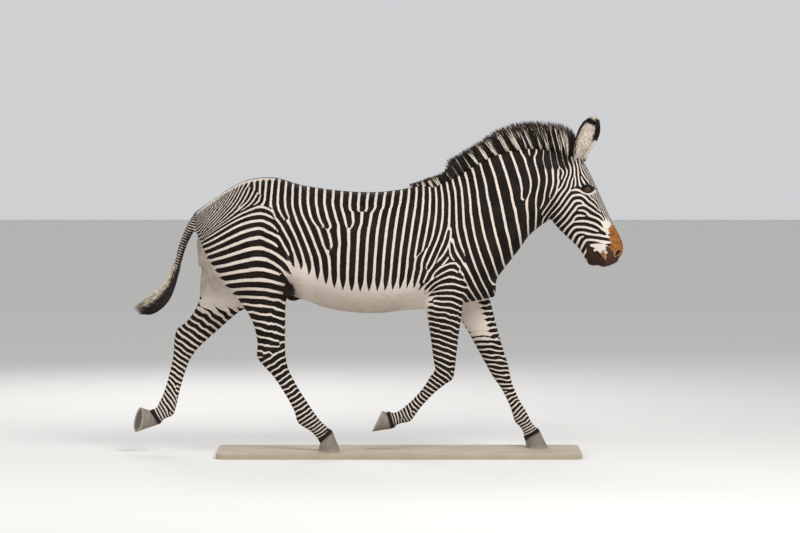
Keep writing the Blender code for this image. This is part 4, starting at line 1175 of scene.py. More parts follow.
def coat_marks(skin, places, facings, legs):
    """Marks the skin with the darkness of its stripes, its plain patches, and painted shade and shadow."""
    own = head_turned(places, back=True)
    own_facings = long_one(head_turned(places + facings * 1e-3, back=True) - own)
    x, y, z = own.T
    which, along, _, sure, inner = legs
    head = rise(forward(own), *HEAD_BEGINS)
    dark = np.full(len(places), 0.73)
    neck = rise(x, 0.46, 0.60) * (1 - head)
    dark += 0.08 * neck
    dark += (0.65 - dark) * head
    haunch = rise(-x, 0.50, 0.60)
    dark += (0.69 - dark) * haunch
    for number, leg in enumerate(LEGS):
        told = np.interp(along, (1, 2, 3), LEG_DARKNESS[leg])
        dark += (told - dark) * sure * (which == number)
    edge = np.interp(x, *np.array(BELLY_EDGE).T)
    end = 0.06 * fall(z, 0.86, 0.92)
    flank = rise(x, -0.50, -0.45) * fall(x, 0.30 + end, 0.36 + end) * (1 - sure)
    dark *= 1 - flank * (1 - rise(z - edge, -0.012, 0.075) ** 0.6)
    # White belly behind the elbow
    dark *= 1 - rise(x, 0.05, 0.12) * fall(x, 0.265, 0.295) * fall(z, 0.875, 0.905) * rise(z, 0.68, 0.74)
    under = rise(-facings[:, 2], 0.55, 0.85) * (z > 0.7) * (x < 0.42) * (x > -0.9)
    dark *= 1 - under * (1 - sure)
    high = np.where(which >= 2, rise(z, 0.74, 0.80), rise(z, 0.56, 0.68))
    between = (z > 0.7) & (z < 1.05) & (np.abs(y) < 0.22) & (which >= 0) & (z < edge + 0.02)
    dark *= 1 - rise(inner, 0.10, 0.40) * high * np.maximum(sure, between)
    black_skin_and_shadow, brown = np.zeros(len(places)), np.zeros(len(places))

    # The line along the back, with the white band beside it over the croup
    top = rise(facings[:, 2], 0.2, 0.6) * fall(np.abs(y), 0.026, 0.034) * (x < 0.25) * (x > -1.0)
    band = rise(facings[:, 2], 0.45, 0.75) * fall(np.abs(y), 0.060, 0.085) * rise(-x, 0.50, 0.62)
    dark *= 1 - band * (x > -1.02)
    black_skin_and_shadow = np.maximum(black_skin_and_shadow, top * (0.55 + 0.45 * rise(-x, 0.3, 0.5)))

    # The dark patch behind the ear
    behind = rise(x, 0.885, 0.925) * fall(x, 1.050, 1.075) * rise(z, 1.535, 1.565)
    dark += (0.94 - dark) * behind
    _, tail = tail_place(places)
    dark += (0.74 + 0.23 * rise(facings[:, 0], -0.3, 0.5) - dark) * tail
    plain = np.maximum(behind_thigh(places), between_thighs(places)) * (1 - tail)
    dark *= 1 - plain
    # Painted shade: the plain skin behind the right thigh and between the thighs is greyed as if in shadow;
    # the patch behind the ear gets grey lines of its own
    dust_and_shade = np.maximum(0.55 * behind, 0.95 * plain)
    # Greyer on the downward-facing underside: partly the belly's own dusty tone, partly painted shade
    dust_and_shade = np.maximum(dust_and_shade, 0.4 * rise(-facings[:, 2], 0.05, 0.75) * (z > 0.6) * (x < 0.42) * (1 - sure))

    # Sheath and the bare skin between the thighs, and painted shadow in the crease between each thigh and the
    # belly
    groin = np.linalg.norm((own - np.array(SHEATH[0])) / np.array([0.075, 0.06, 0.065]), axis=1)
    thigh_crease_shadow = np.linalg.norm((own[:, [0, 2]] - np.array((-0.480, 0.876))) / np.array([0.034, 0.062]), axis=1)
    black_skin_and_shadow = np.maximum(black_skin_and_shadow, fall(groin, 0.90, 1.15))
    black_skin_and_shadow = np.maximum(black_skin_and_shadow, fall(thigh_crease_shadow, 0.65, 1.35) * (1 - sure) * 0.9)
    dust_and_shade = np.maximum(dust_and_shade, fall(thigh_crease_shadow, 1.0, 2.2) * (1 - sure))

    # Lips, chin, nose and nostrils
    gap, down = near_line(own, MOUTH)
    lift = 0.006 * np.sin(x * 120) + 0.004 * np.sin(x * 290 + 1)
    chin = rise(lift - z - 1.27 * (x - 1.160), -1.185, -1.125) * rise(x + lift, 1.136, 1.180)
    wobble = 0.004 * np.sin(z * 130 + 1) + 0.003 * np.sin(z * 310)
    snout = rise(x + wobble, 1.250, 1.290) * rise(-z - 0.5 * (x - 1.27), -1.150, -1.115)
    lips = fall(gap, 0.008, 0.013) * rise(down, 0.0, 0.4) * (x > 1.19)
    under_nose = fall(z, 1.038, 1.058) * rise(x, 1.235, 1.255)
    muzzle = np.maximum(np.maximum(chin, snout), np.maximum(lips, under_nose))
    black_skin_and_shadow = np.maximum(black_skin_and_shadow, muzzle)
    brown = np.maximum(brown, np.maximum(snout, under_nose))
    brown = np.maximum(brown, chin * 0.45)
    patch = rise(x + wobble + 0.12 * (z - 1.16), 1.268, 1.306) * fall(z, 1.216, 1.262)
    patch *= rise(z + (x - 1.29) * 0.6, 1.075, 1.120)
    brown = np.maximum(brown, patch)
    black_skin_and_shadow *= 1 - patch
    tan = np.exp(-(((x - 1.250) / 0.019) ** 2) - (((z - 1.068) / 0.042) ** 2))
    brown = np.maximum(brown, 0.95 * tan)
    dark *= 1 - rise(tan, 0.1, 0.9)
    white = rise(-(x - 1.262) ** 2 / 0.03**2 - (z - 1.225) ** 2 / 0.05**2, -1.5, -0.2)
    dark *= 1 - white * (x + (z - 1.2) * 0.45 > 1.262) * head
    dark *= 1 - np.exp(-(((x - 1.236) / 0.040) ** 4) - (((z - 1.122) / 0.022) ** 4))
    for side in SIDES:
        share, _ = nostril_share(own, side)
        pale = np.exp(-(((share - 1.45) / 0.22) ** 2))
        brown *= 1 - pale * 0.5
        dark *= 1 - pale
        dust_and_shade = np.maximum(dust_and_shade, pale)
        black_skin_and_shadow = np.maximum(black_skin_and_shadow * (1 - pale * 0.6), fall(share, 1.0, 1.15))
        share, _, t = lid_share(own, side)
        # Black skin round each eye; the wider dark band above it is partly painted shadow under the brow
        rim = fall(share, 1.85, 2.10) * (t > -0.002) + fall(share, 1.10, 1.25) * (t <= -0.002)
        lower = fall(share, 1.9, 2.2) * (t <= -0.002)
        brown = np.maximum(brown, lower * 0.9)
        black_skin_and_shadow = np.maximum(np.maximum(black_skin_and_shadow, lower), rim)
        paler = fall(share, 2.6, 3.0) * (t < -0.004)
        dark *= 1 - paler

    # Ears
    for side in SIDES:
        near, on, up, round_share, within = ear_marks(own, own_facings, side)
        rim = ear_rim(up, round_share, 0.70, 0.76)
        behind = rise(up, 0.22, 0.34) * np.where(round_share < -0.72, rise(up, 0.40, 0.50), 1.0)
        black = np.where(within > 0.5, rim, behind) * fall(up, 0.86, 0.91)
        dark[near] *= 1 - on
        black_skin_and_shadow[near] = black_skin_and_shadow[near] * (1 - on) + black * on
    black_skin_and_shadow = np.maximum(black_skin_and_shadow, rise(along, 3.80, 3.92) * sure * (which >= 0) * 0.9)
    for name, numbers in (("dark", dark * 1.10 - 0.10), ("dust_and_shade", dust_and_shade), ("black_skin_and_shadow", black_skin_and_shadow), ("brown", brown)):
        mark(skin, name, numbers)


def coat_finish(name):
    coat = Finish(name)
    here = coat.place()
    band, pitch, dark = coat.marked("band"), coat.marked("pitch"), coat.marked("dark")
    ragged = coat.noise(here, 160.0, 3.0, 0.6) - 0.5
    wander = coat.noise(here, 22.0, 2.0) - 0.5
    turn = band + wander * 0.07
    from_black = turn.maths("PINGPONG", 0.5) * 2.0
    half = pitch * 0.5
    edge = (from_black - dark) * half + ragged * 0.0042
    stripe = (1 - edge.fade(-0.0011, 0.0011)) * dark.fade(-0.08, 0.22)
    # Black bare skin, together with painted shadow in the thigh crease and above the eyes
    patch = (coat.marked("black_skin_and_shadow") + ragged * 0.5).fade(0.35, 0.65)
    mottle = coat.noise(here, 9.0, 4.0, 0.6)
    tone = coat.marked("tone")
    cream = coat.blend(mottle.fade(0.35, 0.70) + tone, CREAM, (0.675, 0.592, 0.520))
    # Cream greyed towards brown where dust lies and where shade is painted: behind the thigh, under the belly
    # and in the thigh crease
    cream = coat.blend(coat.marked("dust_and_shade") * mottle.fade(0.2, 0.6) * 0.75, cream, (0.30, 0.235, 0.180))
    tan = coat.noise(here, 60.0, 4.0, 0.6).fade(0.3, 0.7)
    tan = coat.blend(tan, (0.185, 0.070, 0.017), (0.330, 0.132, 0.034))
    ink = coat.noise(here, 14.0, 4.0, 0.6).fade(0.35, 0.75)
    ink = coat.blend(ink + tone, BLACK, (0.017, 0.012, 0.009))
    colour = coat.blend(stripe, cream, ink)
    colour = coat.blend((coat.marked("brown") + ragged * 0.4).fade(0.3, 0.7), colour, tan)
    bare = coat.blend(coat.marked("brown"), ink, (0.060, 0.030, 0.017))
    colour = coat.blend(patch, colour, bare)
    coat.set(Base_Color=colour, Roughness=0.68, Specular_IOR_Level=0.1)
    lie = coat.noise(coat.place((60, 400, 400)), 1.0, 3.0, 0.6)
    down = coat.noise(coat.place((400, 400, 60)), 1.0, 3.0, 0.6)
    hair = lie * (1 - coat.marked("upright")) + down * coat.marked("upright")
    coat.set(Normal=coat.bump(hair, 0.35, 0.0012))
    return coat.material


def striped_skin():
    """The skin with fewer faces, which stay fine over the head and neck."""
    skin = one_skin()
    own = head_turned(places_of(skin), back=True)
    grouped(skin, "coarse", 1 - rise(own[:, 0] - own[:, 2] * 0.3, 0.42, 0.50))
    triangles = sum(len(face.vertices) - 2 for face in skin.data.polygons)
    use(skin, "DECIMATE", ratio=SKIN_FACES / triangles, vertex_group="coarse", use_collapse_triangulate=True)
    return skin


# ---- hair ----

PATCH = 0.003  # what each tuft takes of its piece's map
TUFTS = 46000  # in each piece of the coat
TUFT_SIZES = {  # length and width
    "rump": (0.0150, 0.0032),
    "barrel": (0.0150, 0.0032),
    "neck": (0.0125, 0.0027),
    "legs": (0.0100, 0.0024),
    "head": (0.0068, 0.0017),
}


def locks(name, paths, sides, widths, flatness, roots_on_map):
    """Closed three-sided locks of hair along paths, each from a root ring to one point at its tip."""
    count, rings = paths.shape[:2]
    along = np.gradient(paths, axis=1)
    outs = np.cross(along, sides)
    outs /= np.maximum(np.linalg.norm(outs, axis=2), 1e-9)[..., None]
    points = []
    for corner in (pi / 2, pi * 7 / 6, pi * 11 / 6):
        flat = sides * cos(corner) + outs * sin(corner) * flatness
        points.append(paths + flat * widths[..., None] / 2)
    rounds = np.stack(points, 2)[:, :-1].reshape(count, -1, 3)
    points = np.concatenate([rounds, paths[:, -1:]], axis=1)
    size = points.shape[1]
    faces = [(0, 2, 1)]
    for i in range(rings - 2):
        for j in range(3):
            a, b = i * 3 + j, i * 3 + (j + 1) % 3
            faces += [(a, b, b + 3), (a, b + 3, a + 3)]
    last = (rings - 2) * 3
    faces += [(last + j, last + (j + 1) % 3, size - 1) for j in range(3)]
    faces = (np.array(faces)[None] + (np.arange(count) * size)[:, None, None]).reshape(-1, 3)
    made = object_from(name, points.reshape(-1, 3), faces)
    up_lock = np.append(np.repeat(np.arange(rings - 1), 3), rings - 1) / (rings - 1)
    across = np.append(np.tile([0.0, 0.5, 1.0], rings - 1), 0.5)
    mark(made, "tip", np.tile(up_lock, count))
    spots = roots_on_map[:, None, :] + (np.stack([up_lock, across], -1)[None] - 0.5) * PATCH
    layer = made.data.uv_layers.new(name="OFBake")
    layer.uv.foreach_set("vector", spots.reshape(-1, 2)[faces.ravel()].astype(np.float32).ravel())
    made.data.polygons.foreach_set("use_smooth", np.ones(len(faces), bool))
    return made, size


def on_map(places, legs):
    """The skin laid out flat: the trunk, neck and head above, and the four legs in a row below."""
    which, along, _, sure, _ = legs
    middle = np.interp(places[:, 0], (-1.0, 0.4, 0.8, 1.1, 1.3), (1.20, 1.12, 1.42, 1.43, 1.15))
    turn = np.arctan2(places[:, 1], places[:, 2] - middle) / (2 * pi) + 0.5
    body = np.stack([0.02 + (places[:, 0] + 1.35) / 2.75 * 0.96, 0.54 + turn * 0.44], -1)
    leg = np.zeros((len(places), 2))
    for number, (kind, side) in enumerate(LEGS):
        mine = which == number
        chain = leg_chain(kind, side)
        line = np.stack([np.interp(along[mine], range(5), chain[:, k]) for k in range(3)], -1)
        off = places[mine] - line
        round_leg = np.arctan2(off[:, 1] * side, off[:, 0]) / (2 * pi) + 0.5
        leg[mine] = np.stack([(number + 0.05 + round_leg * 0.9) / 4, 0.02 + along[mine] / 4 * 0.46], -1)
    return np.where(sure[:, None] > 0.5, leg, body)


def filling(spots):
    """Places on a map stretched so that together they fill it."""
    low, high = spots.min(axis=0), spots.max(axis=0)
    return 0.01 + (spots - low) / (high - low) * 0.98


def hair_lie(places, facings, legs):
    """The way the hair lies on the skin."""
    own = head_turned(places, back=True)
    neck, head = rise(own[:, 0], 0.35, 0.60), rise(forward(own), *HEAD_BEGINS)
    way = np.zeros((len(places), 3)) + (-0.92, 0.0, -0.38)
    way += neck[:, None] * (np.array((-0.55, 0.0, -0.83)) - way)
    way += head[:, None] * (head_line() - way)
    for side in SIDES:
        near, on, *_ = ear_marks(own, facings, side)
        way[near] += on[:, None] * (np.array((0.30, side * 0.15, 0.94)) - way[near])
    tail_bone, on_tail = tail_place(places)
    way += on_tail[:, None] * (tail_bone - way)
    _, _, bone, sure, _ = legs
    way += sure[:, None] * (bone - way)
    return on_skin(way, facings)


def hair_regions(places, legs):
    own = head_turned(places, back=True)
    head = forward(own) > 0.96
    on_leg = legs[3] > 0.5
    neck = (own[:, 0] > 0.30) & ~head & ~on_leg
    trunk = ~(head | neck | on_leg)
    rump = trunk & (places[:, 0] < -0.38)
    return {"rump": rump, "barrel": trunk & ~rump, "neck": neck, "legs": on_leg, "head": head}


def across_face(corners, places, numbers):
    """How fast a number told at the three corners of each face grows, as a direction in the face."""
    one = places[corners[:, 1]] - places[corners[:, 0]]
    two = places[corners[:, 2]] - places[corners[:, 0]]
    aa, ab, bb = (one * one).sum(1), (one * two).sum(1), (two * two).sum(1)
    by_one, by_two = numbers[:, 1] - numbers[:, 0], numbers[:, 2] - numbers[:, 0]
    whole = np.maximum(aa * bb - ab * ab, 1e-16)
    along_one, along_two = (bb * by_one - ab * by_two) / whole, (aa * by_two - ab * by_one) / whole
    return one * along_one[:, None] + two * along_two[:, None]


def body_coat(skin, corners, places, facings, legs):
    """Small flat tufts all over the skin, which carry the stripes of the skin below them."""
    rng = np.random.default_rng(4)
    flat, lie = on_map(places, legs), hair_lie(places, facings, legs)
    marks = {name: marks_of(skin, name) for name in ("pitch", "dark", "dust_and_shade", "black_skin_and_shadow", "brown", "upright")}
    band = marks_of(skin, "band").reshape(-1, 3)
    growth = across_face(corners, places, band)
    first, second, third = (places[corners[:, k]] for k in range(3))
    area = np.linalg.norm(np.cross(second - first, third - first), axis=1)
    area *= ~near_features(places)[corners].any(1)
    made = []
    for name, region in hair_regions(places, legs).items():
        share = area * region[corners].all(1)
        picked = rng.choice(len(corners), TUFTS, p=share / share.sum())
        mix = rng.dirichlet((1, 1, 1), TUFTS)
        at = corners[picked]

        def told(numbers):
            return (numbers[at] * mix.reshape(mix.shape + (1,) * (numbers.ndim - 1))).sum(1)

        root, out = told(places), long_one(told(facings))
        way = on_skin(told(lie) + rng.normal(0, 0.14, out.shape), out)
        long, wide = TUFT_SIZES[name]
        length = long * rng.uniform(0.7, 1.25, (TUFTS, 1))
        lift = length * rng.uniform(0.02, 0.11, (TUFTS, 1))
        paths = np.stack([root - out * 0.0011, root + way * length + out * lift], 1)
        sides = np.repeat(np.cross(out, way)[:, None], 2, 1)
        widths = wide * rng.uniform(0.7, 1.2, (TUFTS, 1)) * np.array([[1.0, 0.0]])
        tufts, size = locks(f"coat_{name}", paths, sides, widths, 0.5, filling(told(flat)))
        start = (band[picked] * mix).sum(1)
        end = start + (growth[picked] * way * length).sum(1).clip(-0.4, 0.4)
        mark(tufts, "band", np.stack([start, start, start, end], 1).ravel())
        mark(tufts, "tone", np.repeat(rng.uniform(-0.6, 0.6, TUFTS), size))
        for mark_name, numbers in marks.items():
            mark(tufts, mark_name, np.repeat(told(numbers), size))
        shine = long_one(out + way * rng.uniform(-0.25, 0.35, (TUFTS, 1)) + rng.normal(0, 0.10, out.shape))
        tufts.data.normals_split_custom_set_from_vertices(np.repeat(shine, size, axis=0))
        made.append(tufts)
    return made


def near_features(places):
    own = head_turned(places, back=True)
    near = near_line(own, MOUTH)[0] < 0.006
    for side in SIDES:
        near |= lid_share(own, side)[0] < 1.5
        near |= nostril_share(own, side)[0] < 1.5
    return near


def marks_of(obj, name):
    layer = obj.data.attributes[name]
    found = np.empty(len(layer.data), np.float32)
    layer.data.foreach_get("value", found)
    return found.astype(float)


MANE_LOCKS, FORELOCKS, MANE_LOCK_WIDTH, MANE_DARKEST = 3600, 160, 0.0075, 0.69
HAIR_STEPS = 8  # parts of each span of the mane's and the tail's outline


def mane_hair(skin, corners, places):
    """The upright mane: locks that stand along the crest and carry the neck's stripes up to dark tips."""
    rng = np.random.default_rng(11)
    table = smooth_between(MANE, HAIR_STEPS)
    x = rng.uniform(table[0, 0] + 0.005, table[-1, 0] - 0.004, MANE_LOCKS)
    x[:FORELOCKS] = rng.uniform(1.050, 1.092, FORELOCKS)
    crest = np.interp(x, table[:, 0], table[:, 2]) + CREST_RISE
    y = rng.normal(0, 0.0085, MANE_LOCKS).clip(-0.019, 0.019)
    lean = np.interp(x, (0.20, 0.40, 0.55, 0.70, 0.85, 0.95, 1.10), (118, 120, 124, 120, 112, 104, 88))
    lean = np.radians(lean + rng.normal(0, 3.5, MANE_LOCKS))
    length = np.interp(x, table[:, 0], table[:, 1]) - crest
    for _ in range(4):
        tip_x = x + length * np.cos(lean)
        tips = np.interp(tip_x, table[:, 0], table[:, 1])
        length = np.maximum(tips - crest, 0.012) / np.sin(lean)
    length = length * rng.uniform(0.66, 1.07, MANE_LOCKS) ** 0.7
    way = np.stack([np.cos(lean), y * 2.2 + rng.normal(0, 0.035, MANE_LOCKS), np.sin(lean)], -1)
    bend = np.stack([rng.normal(0, 0.02, MANE_LOCKS) - 0.02, rng.normal(0, 0.03, MANE_LOCKS), 0 * y], -1)
    root = np.stack([x, y, crest - 0.016 - np.abs(y) * 0.25], -1)
    steps = np.array([0.0, 0.3, 0.62, 0.86, 1.0])
    reach = (length + 0.016)[:, None, None] * steps[None, :, None]
    paths = root[:, None] + way[:, None] * reach + bend[:, None] * reach * steps[None, :, None] * 2
    sides = np.stack([np.sin(lean), 0.35 * rng.normal(0, 1, MANE_LOCKS), -np.cos(lean)], -1)
    sides = long_one(np.repeat(sides[:, None], 5, 1))
    narrowing = np.array([[1.0, 1.0, 0.8, 0.45, 0.0]])
    widths = MANE_LOCK_WIDTH * rng.uniform(0.6, 1.15, (MANE_LOCKS, 1)) * narrowing
    on_sheet = np.stack([0.03 + (x - 0.2) / 0.9 * 0.94, 0.5 + y * 22], -1)
    mane, size = locks("mane_hair", head_turned(paths), sides, widths, 0.5, on_sheet)
    side = np.where(y < 0, RIGHT, LEFT)
    foot = np.stack([x - 0.02 * np.cos(lean), side * 0.024, crest - 0.012 - 0.02 * np.sin(lean)], -1)
    carry_marks(mane, size, skin, corners, places, head_turned(foot))
    return mane


def carry_marks(hair, size, skin, corners, places, foots):
    """Gives each lock the stripe that the skin has at its foot."""
    tree = KDTree(len(corners))
    for i, middle in enumerate(places[corners].mean(1)):
        tree.insert(middle, i)
    tree.balance()
    found = np.array([tree.find(foot)[1] for foot in foots])
    mark(hair, "band", np.repeat(marks_of(skin, "band").reshape(-1, 3)[found].mean(1), size))
    for name, most in (("pitch", 1), ("dark", MANE_DARKEST)):
        mark(hair, name, np.repeat(marks_of(skin, name)[corners[found, 0]].clip(0, most), size))


TAIL_LOCKS, LONG_TAIL_LOCKS = 1500, 500
EAR_HAIRS, LASHES, CORONET_HAIRS = 900, 46, 1500
TAPER = np.array([[1.0, 0.8, 0.0]])  # how a short hair narrows


def tail_hair():
    """The switch: long locks that leave the end of the dock and stream back with it."""
    rng = np.random.default_rng(21)
    rows = smooth_between([(tx, tz, bx, bz, width) for tx, tz, bx, bz, width, _ in TAIL], HAIR_STEPS)
    at = np.arange(len(rows)) / HAIR_STEPS
    start = rng.uniform(4.6, 8.0, TAIL_LOCKS)
    end = np.minimum(start + rng.uniform(2.6, 4.6, TAIL_LOCKS), rng.uniform(9.6, 11.0, TAIL_LOCKS))
    end[:LONG_TAIL_LOCKS] = rng.uniform(10.2, 11.0, LONG_TAIL_LOCKS)
    across = rng.uniform(-1, 1, TAIL_LOCKS)
    aside = rng.uniform(-1, 1, TAIL_LOCKS) * np.sqrt(1 - across**2)
    steps = np.linspace(0, 1, 8)
    along = start[:, None] + (end - start)[:, None] * steps
    open_out = np.clip((along - start[:, None]) * 0.9 + 0.45, 0, 1)
    told = [np.interp(along, at, rows[:, k]) for k in range(5)]
    high, low = np.stack(told[0:2], -1), np.stack(told[2:4], -1)
    wave = 0.12 * np.sin(along * 1.3 + rng.uniform(0, 6, (TAIL_LOCKS, 1)))
    level = np.clip((across[:, None] + wave) * 0.94, -0.97, 0.97)[..., None] * open_out[..., None]
    side_view = (high + low) / 2 + (high - low) / 2 * level
    y = (aside[:, None] + wave * 0.6) * told[4] / 2 * 0.92 * open_out
    paths = np.stack([side_view[..., 0], y, side_view[..., 1]], -1)
    sides = long_one(np.zeros_like(paths) + (0.3, 1.0, 0.3) + rng.normal(0, 0.3, (TAIL_LOCKS, 1, 3)))
    narrowing = np.array([[0.6, 1, 1, 0.95, 0.85, 0.65, 0.35, 0.0]])
    widths = 0.0062 * rng.uniform(0.6, 1.2, (TAIL_LOCKS, 1)) * narrowing
    on_sheet = np.stack([0.05 + (start - 4.6) / 3.4 * 0.9, 0.05 + (across + 1) / 2 * 0.9], -1)
    tail, size = locks("tail_hair", paths, sides, widths, 0.6, on_sheet)
    mark(tail, "pale", np.repeat(across + rng.normal(0, 0.18, TAIL_LOCKS), size))
    return tail


def short_hairs(name, paths, across, widths, flatness, shade, spots=None):
    """Short narrowing hairs along paths of three points, each with its shade from pale to dark."""
    if spots is None:
        spots = filling(on_map(paths[:, 0], leg_places(paths[:, 0])))
    sides = np.repeat(np.broadcast_to(across, paths[:, 0].shape)[:, None], 3, 1)
    hair, size = locks(name, paths, sides, widths * TAPER, flatness, spots)
    mark(hair, "shade", np.repeat(shade, size))
    return hair


def ear_hair(side):
    """Soft hair that fringes an ear and fills its inside."""
    rng = np.random.default_rng(31 + side)
    rows, spine, axis, _ = ear_frame(side)
    count = EAR_HAIRS
    k = rng.integers(4, len(rows) - 3, count)
    opening, roll, radius = ear_curl(side, k)
    across = np.cross(axis[k], opening)
    share = np.where(rng.random(count) < 0.55, rng.uniform(0.72, 0.95, count), rng.uniform(0.1, 0.75, count))
    share *= rng.choice((-1, 1), count)
    radius, angle = radius[:, None], (share * roll)[:, None]
    lining = radius - EAR_THICKNESS * 0.35
    root = spine[k] + opening * radius - opening * lining * np.cos(angle) + across * lining * np.sin(angle)
    inward = opening * np.cos(angle) - across * np.sin(angle)
    round_ear = across * np.cos(angle) + opening * np.sin(angle)
    way = axis[k] * 0.75 + inward * 0.32 - round_ear * np.sign(angle) * 0.35
    way = long_one(way + rng.normal(0, 0.12, (count, 3)))
    length = (rng.uniform(0.014, 0.026, count) * (1 - 0.45 * k / len(rows)))[:, None]
    paths = np.stack([root, root + way * length * 0.55 + inward * 0.001, root + way * length], 1)
    widths = 0.0030 * rng.uniform(0.6, 1.2, (count, 1))
    up = k / len(rows)
    on_sheet = np.stack([0.05 + up * 0.9, 0.5 + share * 0.45], -1)
    rim = ear_rim(up, share * side, 0.68, 0.74)
    shade = rim * fall(up, 0.83, 0.88)
    name = f"ear_hair_{SIDE_WORDS[side]}"
    return short_hairs(name, head_turned(paths), round_ear, widths, 0.5, shade, on_sheet)


def lashes(side):
    """The long lashes of the upper lid."""
    rng = np.random.default_rng(41 + side)
    count = LASHES
    along, up, out = local_axes(EYE_AXIS, side)
    s = rng.uniform(-0.95, 0.85, count) * EYE_SLIT[0]
    t = (1 - np.abs(s / EYE_SLIT[0]) ** LID_ROUNDNESS) ** (1 / LID_ROUNDNESS)
    t = EYE_SLIT[1] * t - EYE_DROP
    height = np.sqrt((EYE_RADIUS + LID_THICKNESS * 0.7) ** 2 - s**2 - t**2)
    root = eye_middle(side) + np.outer(s, along) + np.outer(t, up) + np.outer(height, out)
    way = out * 0.9 + along * (s / EYE_SLIT[0] * 0.35)[:, None] - up * 0.35 + rng.normal(0, 0.08, (count, 3))
    length = rng.uniform(0.010, 0.016, (count, 1))
    bend, tip = root + way * length * 0.55 - up * 0.001, root + way * length + up * 0.002
    paths = np.stack([root - out * 0.001, bend, tip], 1)
    widths = np.full((count, 1), 0.0012)
    return short_hairs(f"lashes_{SIDE_WORDS[side]}", head_turned(paths), along, widths, 0.8, np.ones(count))


def coronet_hair(kind, side):
    """The dark hair that hangs over the top of a hoof, longest behind."""
    rng = np.random.default_rng(51 + side + (kind == "fore") * 7)
    rows = leg_rows(kind, side)
    edge, above = ring(rows[-1]), ring(rows[-2])
    count = CORONET_HAIRS
    k = rng.integers(0, LOFT_POINTS, count)
    down = long_one(edge.mean(axis=0) - above.mean(axis=0))
    out = long_one(edge[k] - edge.mean(axis=0))
    behind = rise(-np.cos(np.arange(LOFT_POINTS) / LOFT_POINTS * 2 * pi)[k], 0.3, 0.9)
    up = rng.uniform(0.004, 0.020, count)
    root = edge[k] - down * up[:, None] - out * 0.0056
    way = down + out * (0.14 + rng.normal(0, 0.05, (count, 1))) + rng.normal(0, 0.12, (count, 3))
    length = (rng.uniform(0.006, 0.013, count) * (1 + 0.8 * behind))[:, None]
    paths = np.stack([root, root + way * length * 0.55 + out * 0.001, root + way * length], 1)
    widths = 0.0019 * rng.uniform(0.6, 1.2, (count, 1))
    name, shade = f"coronet_hair_{kind}_{SIDE_WORDS[side]}", rng.uniform(0.93, 1.0, count)
    return short_hairs(name, paths, np.cross(out, down), widths, 0.5, shade)


SIDE_WORDS = {RIGHT: "right", LEFT: "left"}


def striped_hair_finish():
    """The mane's hair: the neck's stripes, with brown-black tips."""
    hair = Finish("mane_hair")
    here = hair.place()
    from_black = hair.marked("band").maths("PINGPONG", 0.5) * 2.0
    edge = (from_black - hair.marked("dark")) * hair.marked("pitch") * 0.5
    fine = hair.noise(here, 260.0, 2.0) - 0.5
    stripe = 1 - (edge + fine * 0.003).fade(-0.0012, 0.0012)
    mottle = hair.noise(here, 40.0, 3.0, 0.6)
    cream = hair.blend(mottle.fade(0.3, 0.7), (0.68, 0.585, 0.475), (0.84, 0.745, 0.62))
    ink = hair.blend(mottle.fade(0.3, 0.75), (0.007, 0.0045, 0.003), (0.018, 0.011, 0.008))
    tips = hair.blend(mottle.fade(0.35, 0.7), (0.022, 0.012, 0.008), (0.066, 0.034, 0.023))
    reach = (hair.marked("tip") + (hair.noise(here, 18.0, 2.0) - 0.5) * 0.5 + fine * 0.3).fade(0.58, 0.82)
    hair.set(Base_Color=hair.blend(reach, hair.blend(stripe, cream, ink), tips), Roughness=0.55)
    hair.set(Specular_IOR_Level=0.3)
    return hair.material


def tail_hair_finish():
    hair = Finish("tail_hair")
    here = hair.place()
    mottle = hair.noise(here, 50.0, 3.0, 0.6)
    cream = hair.blend(mottle.fade(0.3, 0.7), (0.42, 0.35, 0.26), (0.70, 0.62, 0.50))
    ink = hair.blend(mottle.fade(0.3, 0.75), (0.012, 0.009, 0.008), (0.040, 0.027, 0.020))
    pale = (hair.marked("pale") + (mottle - 0.5) * 0.4 - hair.marked("tip") * 0.15).fade(0.05, 0.35)
    hair.set(Base_Color=hair.blend(pale, ink, cream), Roughness=0.55)
    hair.set(Specular_IOR_Level=0.3)
    return hair.material


def soft_hair_finish():
    hair = Finish("ear_and_lash_hair")
    mottle = hair.noise(hair.place(), 90.0, 3.0, 0.6)
    cream = hair.blend(mottle.fade(0.3, 0.7), (0.62, 0.55, 0.45), (0.80, 0.74, 0.64))
    hair.set(Base_Color=hair.blend(hair.marked("shade"), cream, (0.016, 0.012, 0.010)), Roughness=0.6)
    hair.set(Specular_IOR_Level=0.1)
    return hair.material


# ---- eyes, hooves and base ----


def eyeball(side):
    """A wet eyeball with its clear front bulging a little, a brown iris and a level pupil."""
    bpy.ops.object.select_all(action="DESELECT")
    bpy.ops.mesh.primitive_uv_sphere_add(segments=64, ring_count=40, radius=EYE_RADIUS - 0.0006)
    ball = bpy.context.object
    ball.name = ball.data.name = f"eyeball_{SIDE_WORDS[side]}"
    along, up, out = local_axes(EYE_AXIS, side)
    places = places_of(ball)
    s, t, height = places @ along, places @ up, places @ out
    round_front = np.hypot(s, t) + (height < 0) * 1.0
    places += np.outer(0.0013 * fall(round_front, 0.0105, 0.0155), out)
    move_to(ball, head_turned(places + eye_middle(side)))
    mark(ball, "iris", round_front / 0.0150)
    mark(ball, "pupil", np.hypot(s / 0.0085, t / 0.0042) + (height < 0) * 9.0)
    only(ball)
    bpy.ops.object.shade_smooth()
    return ball


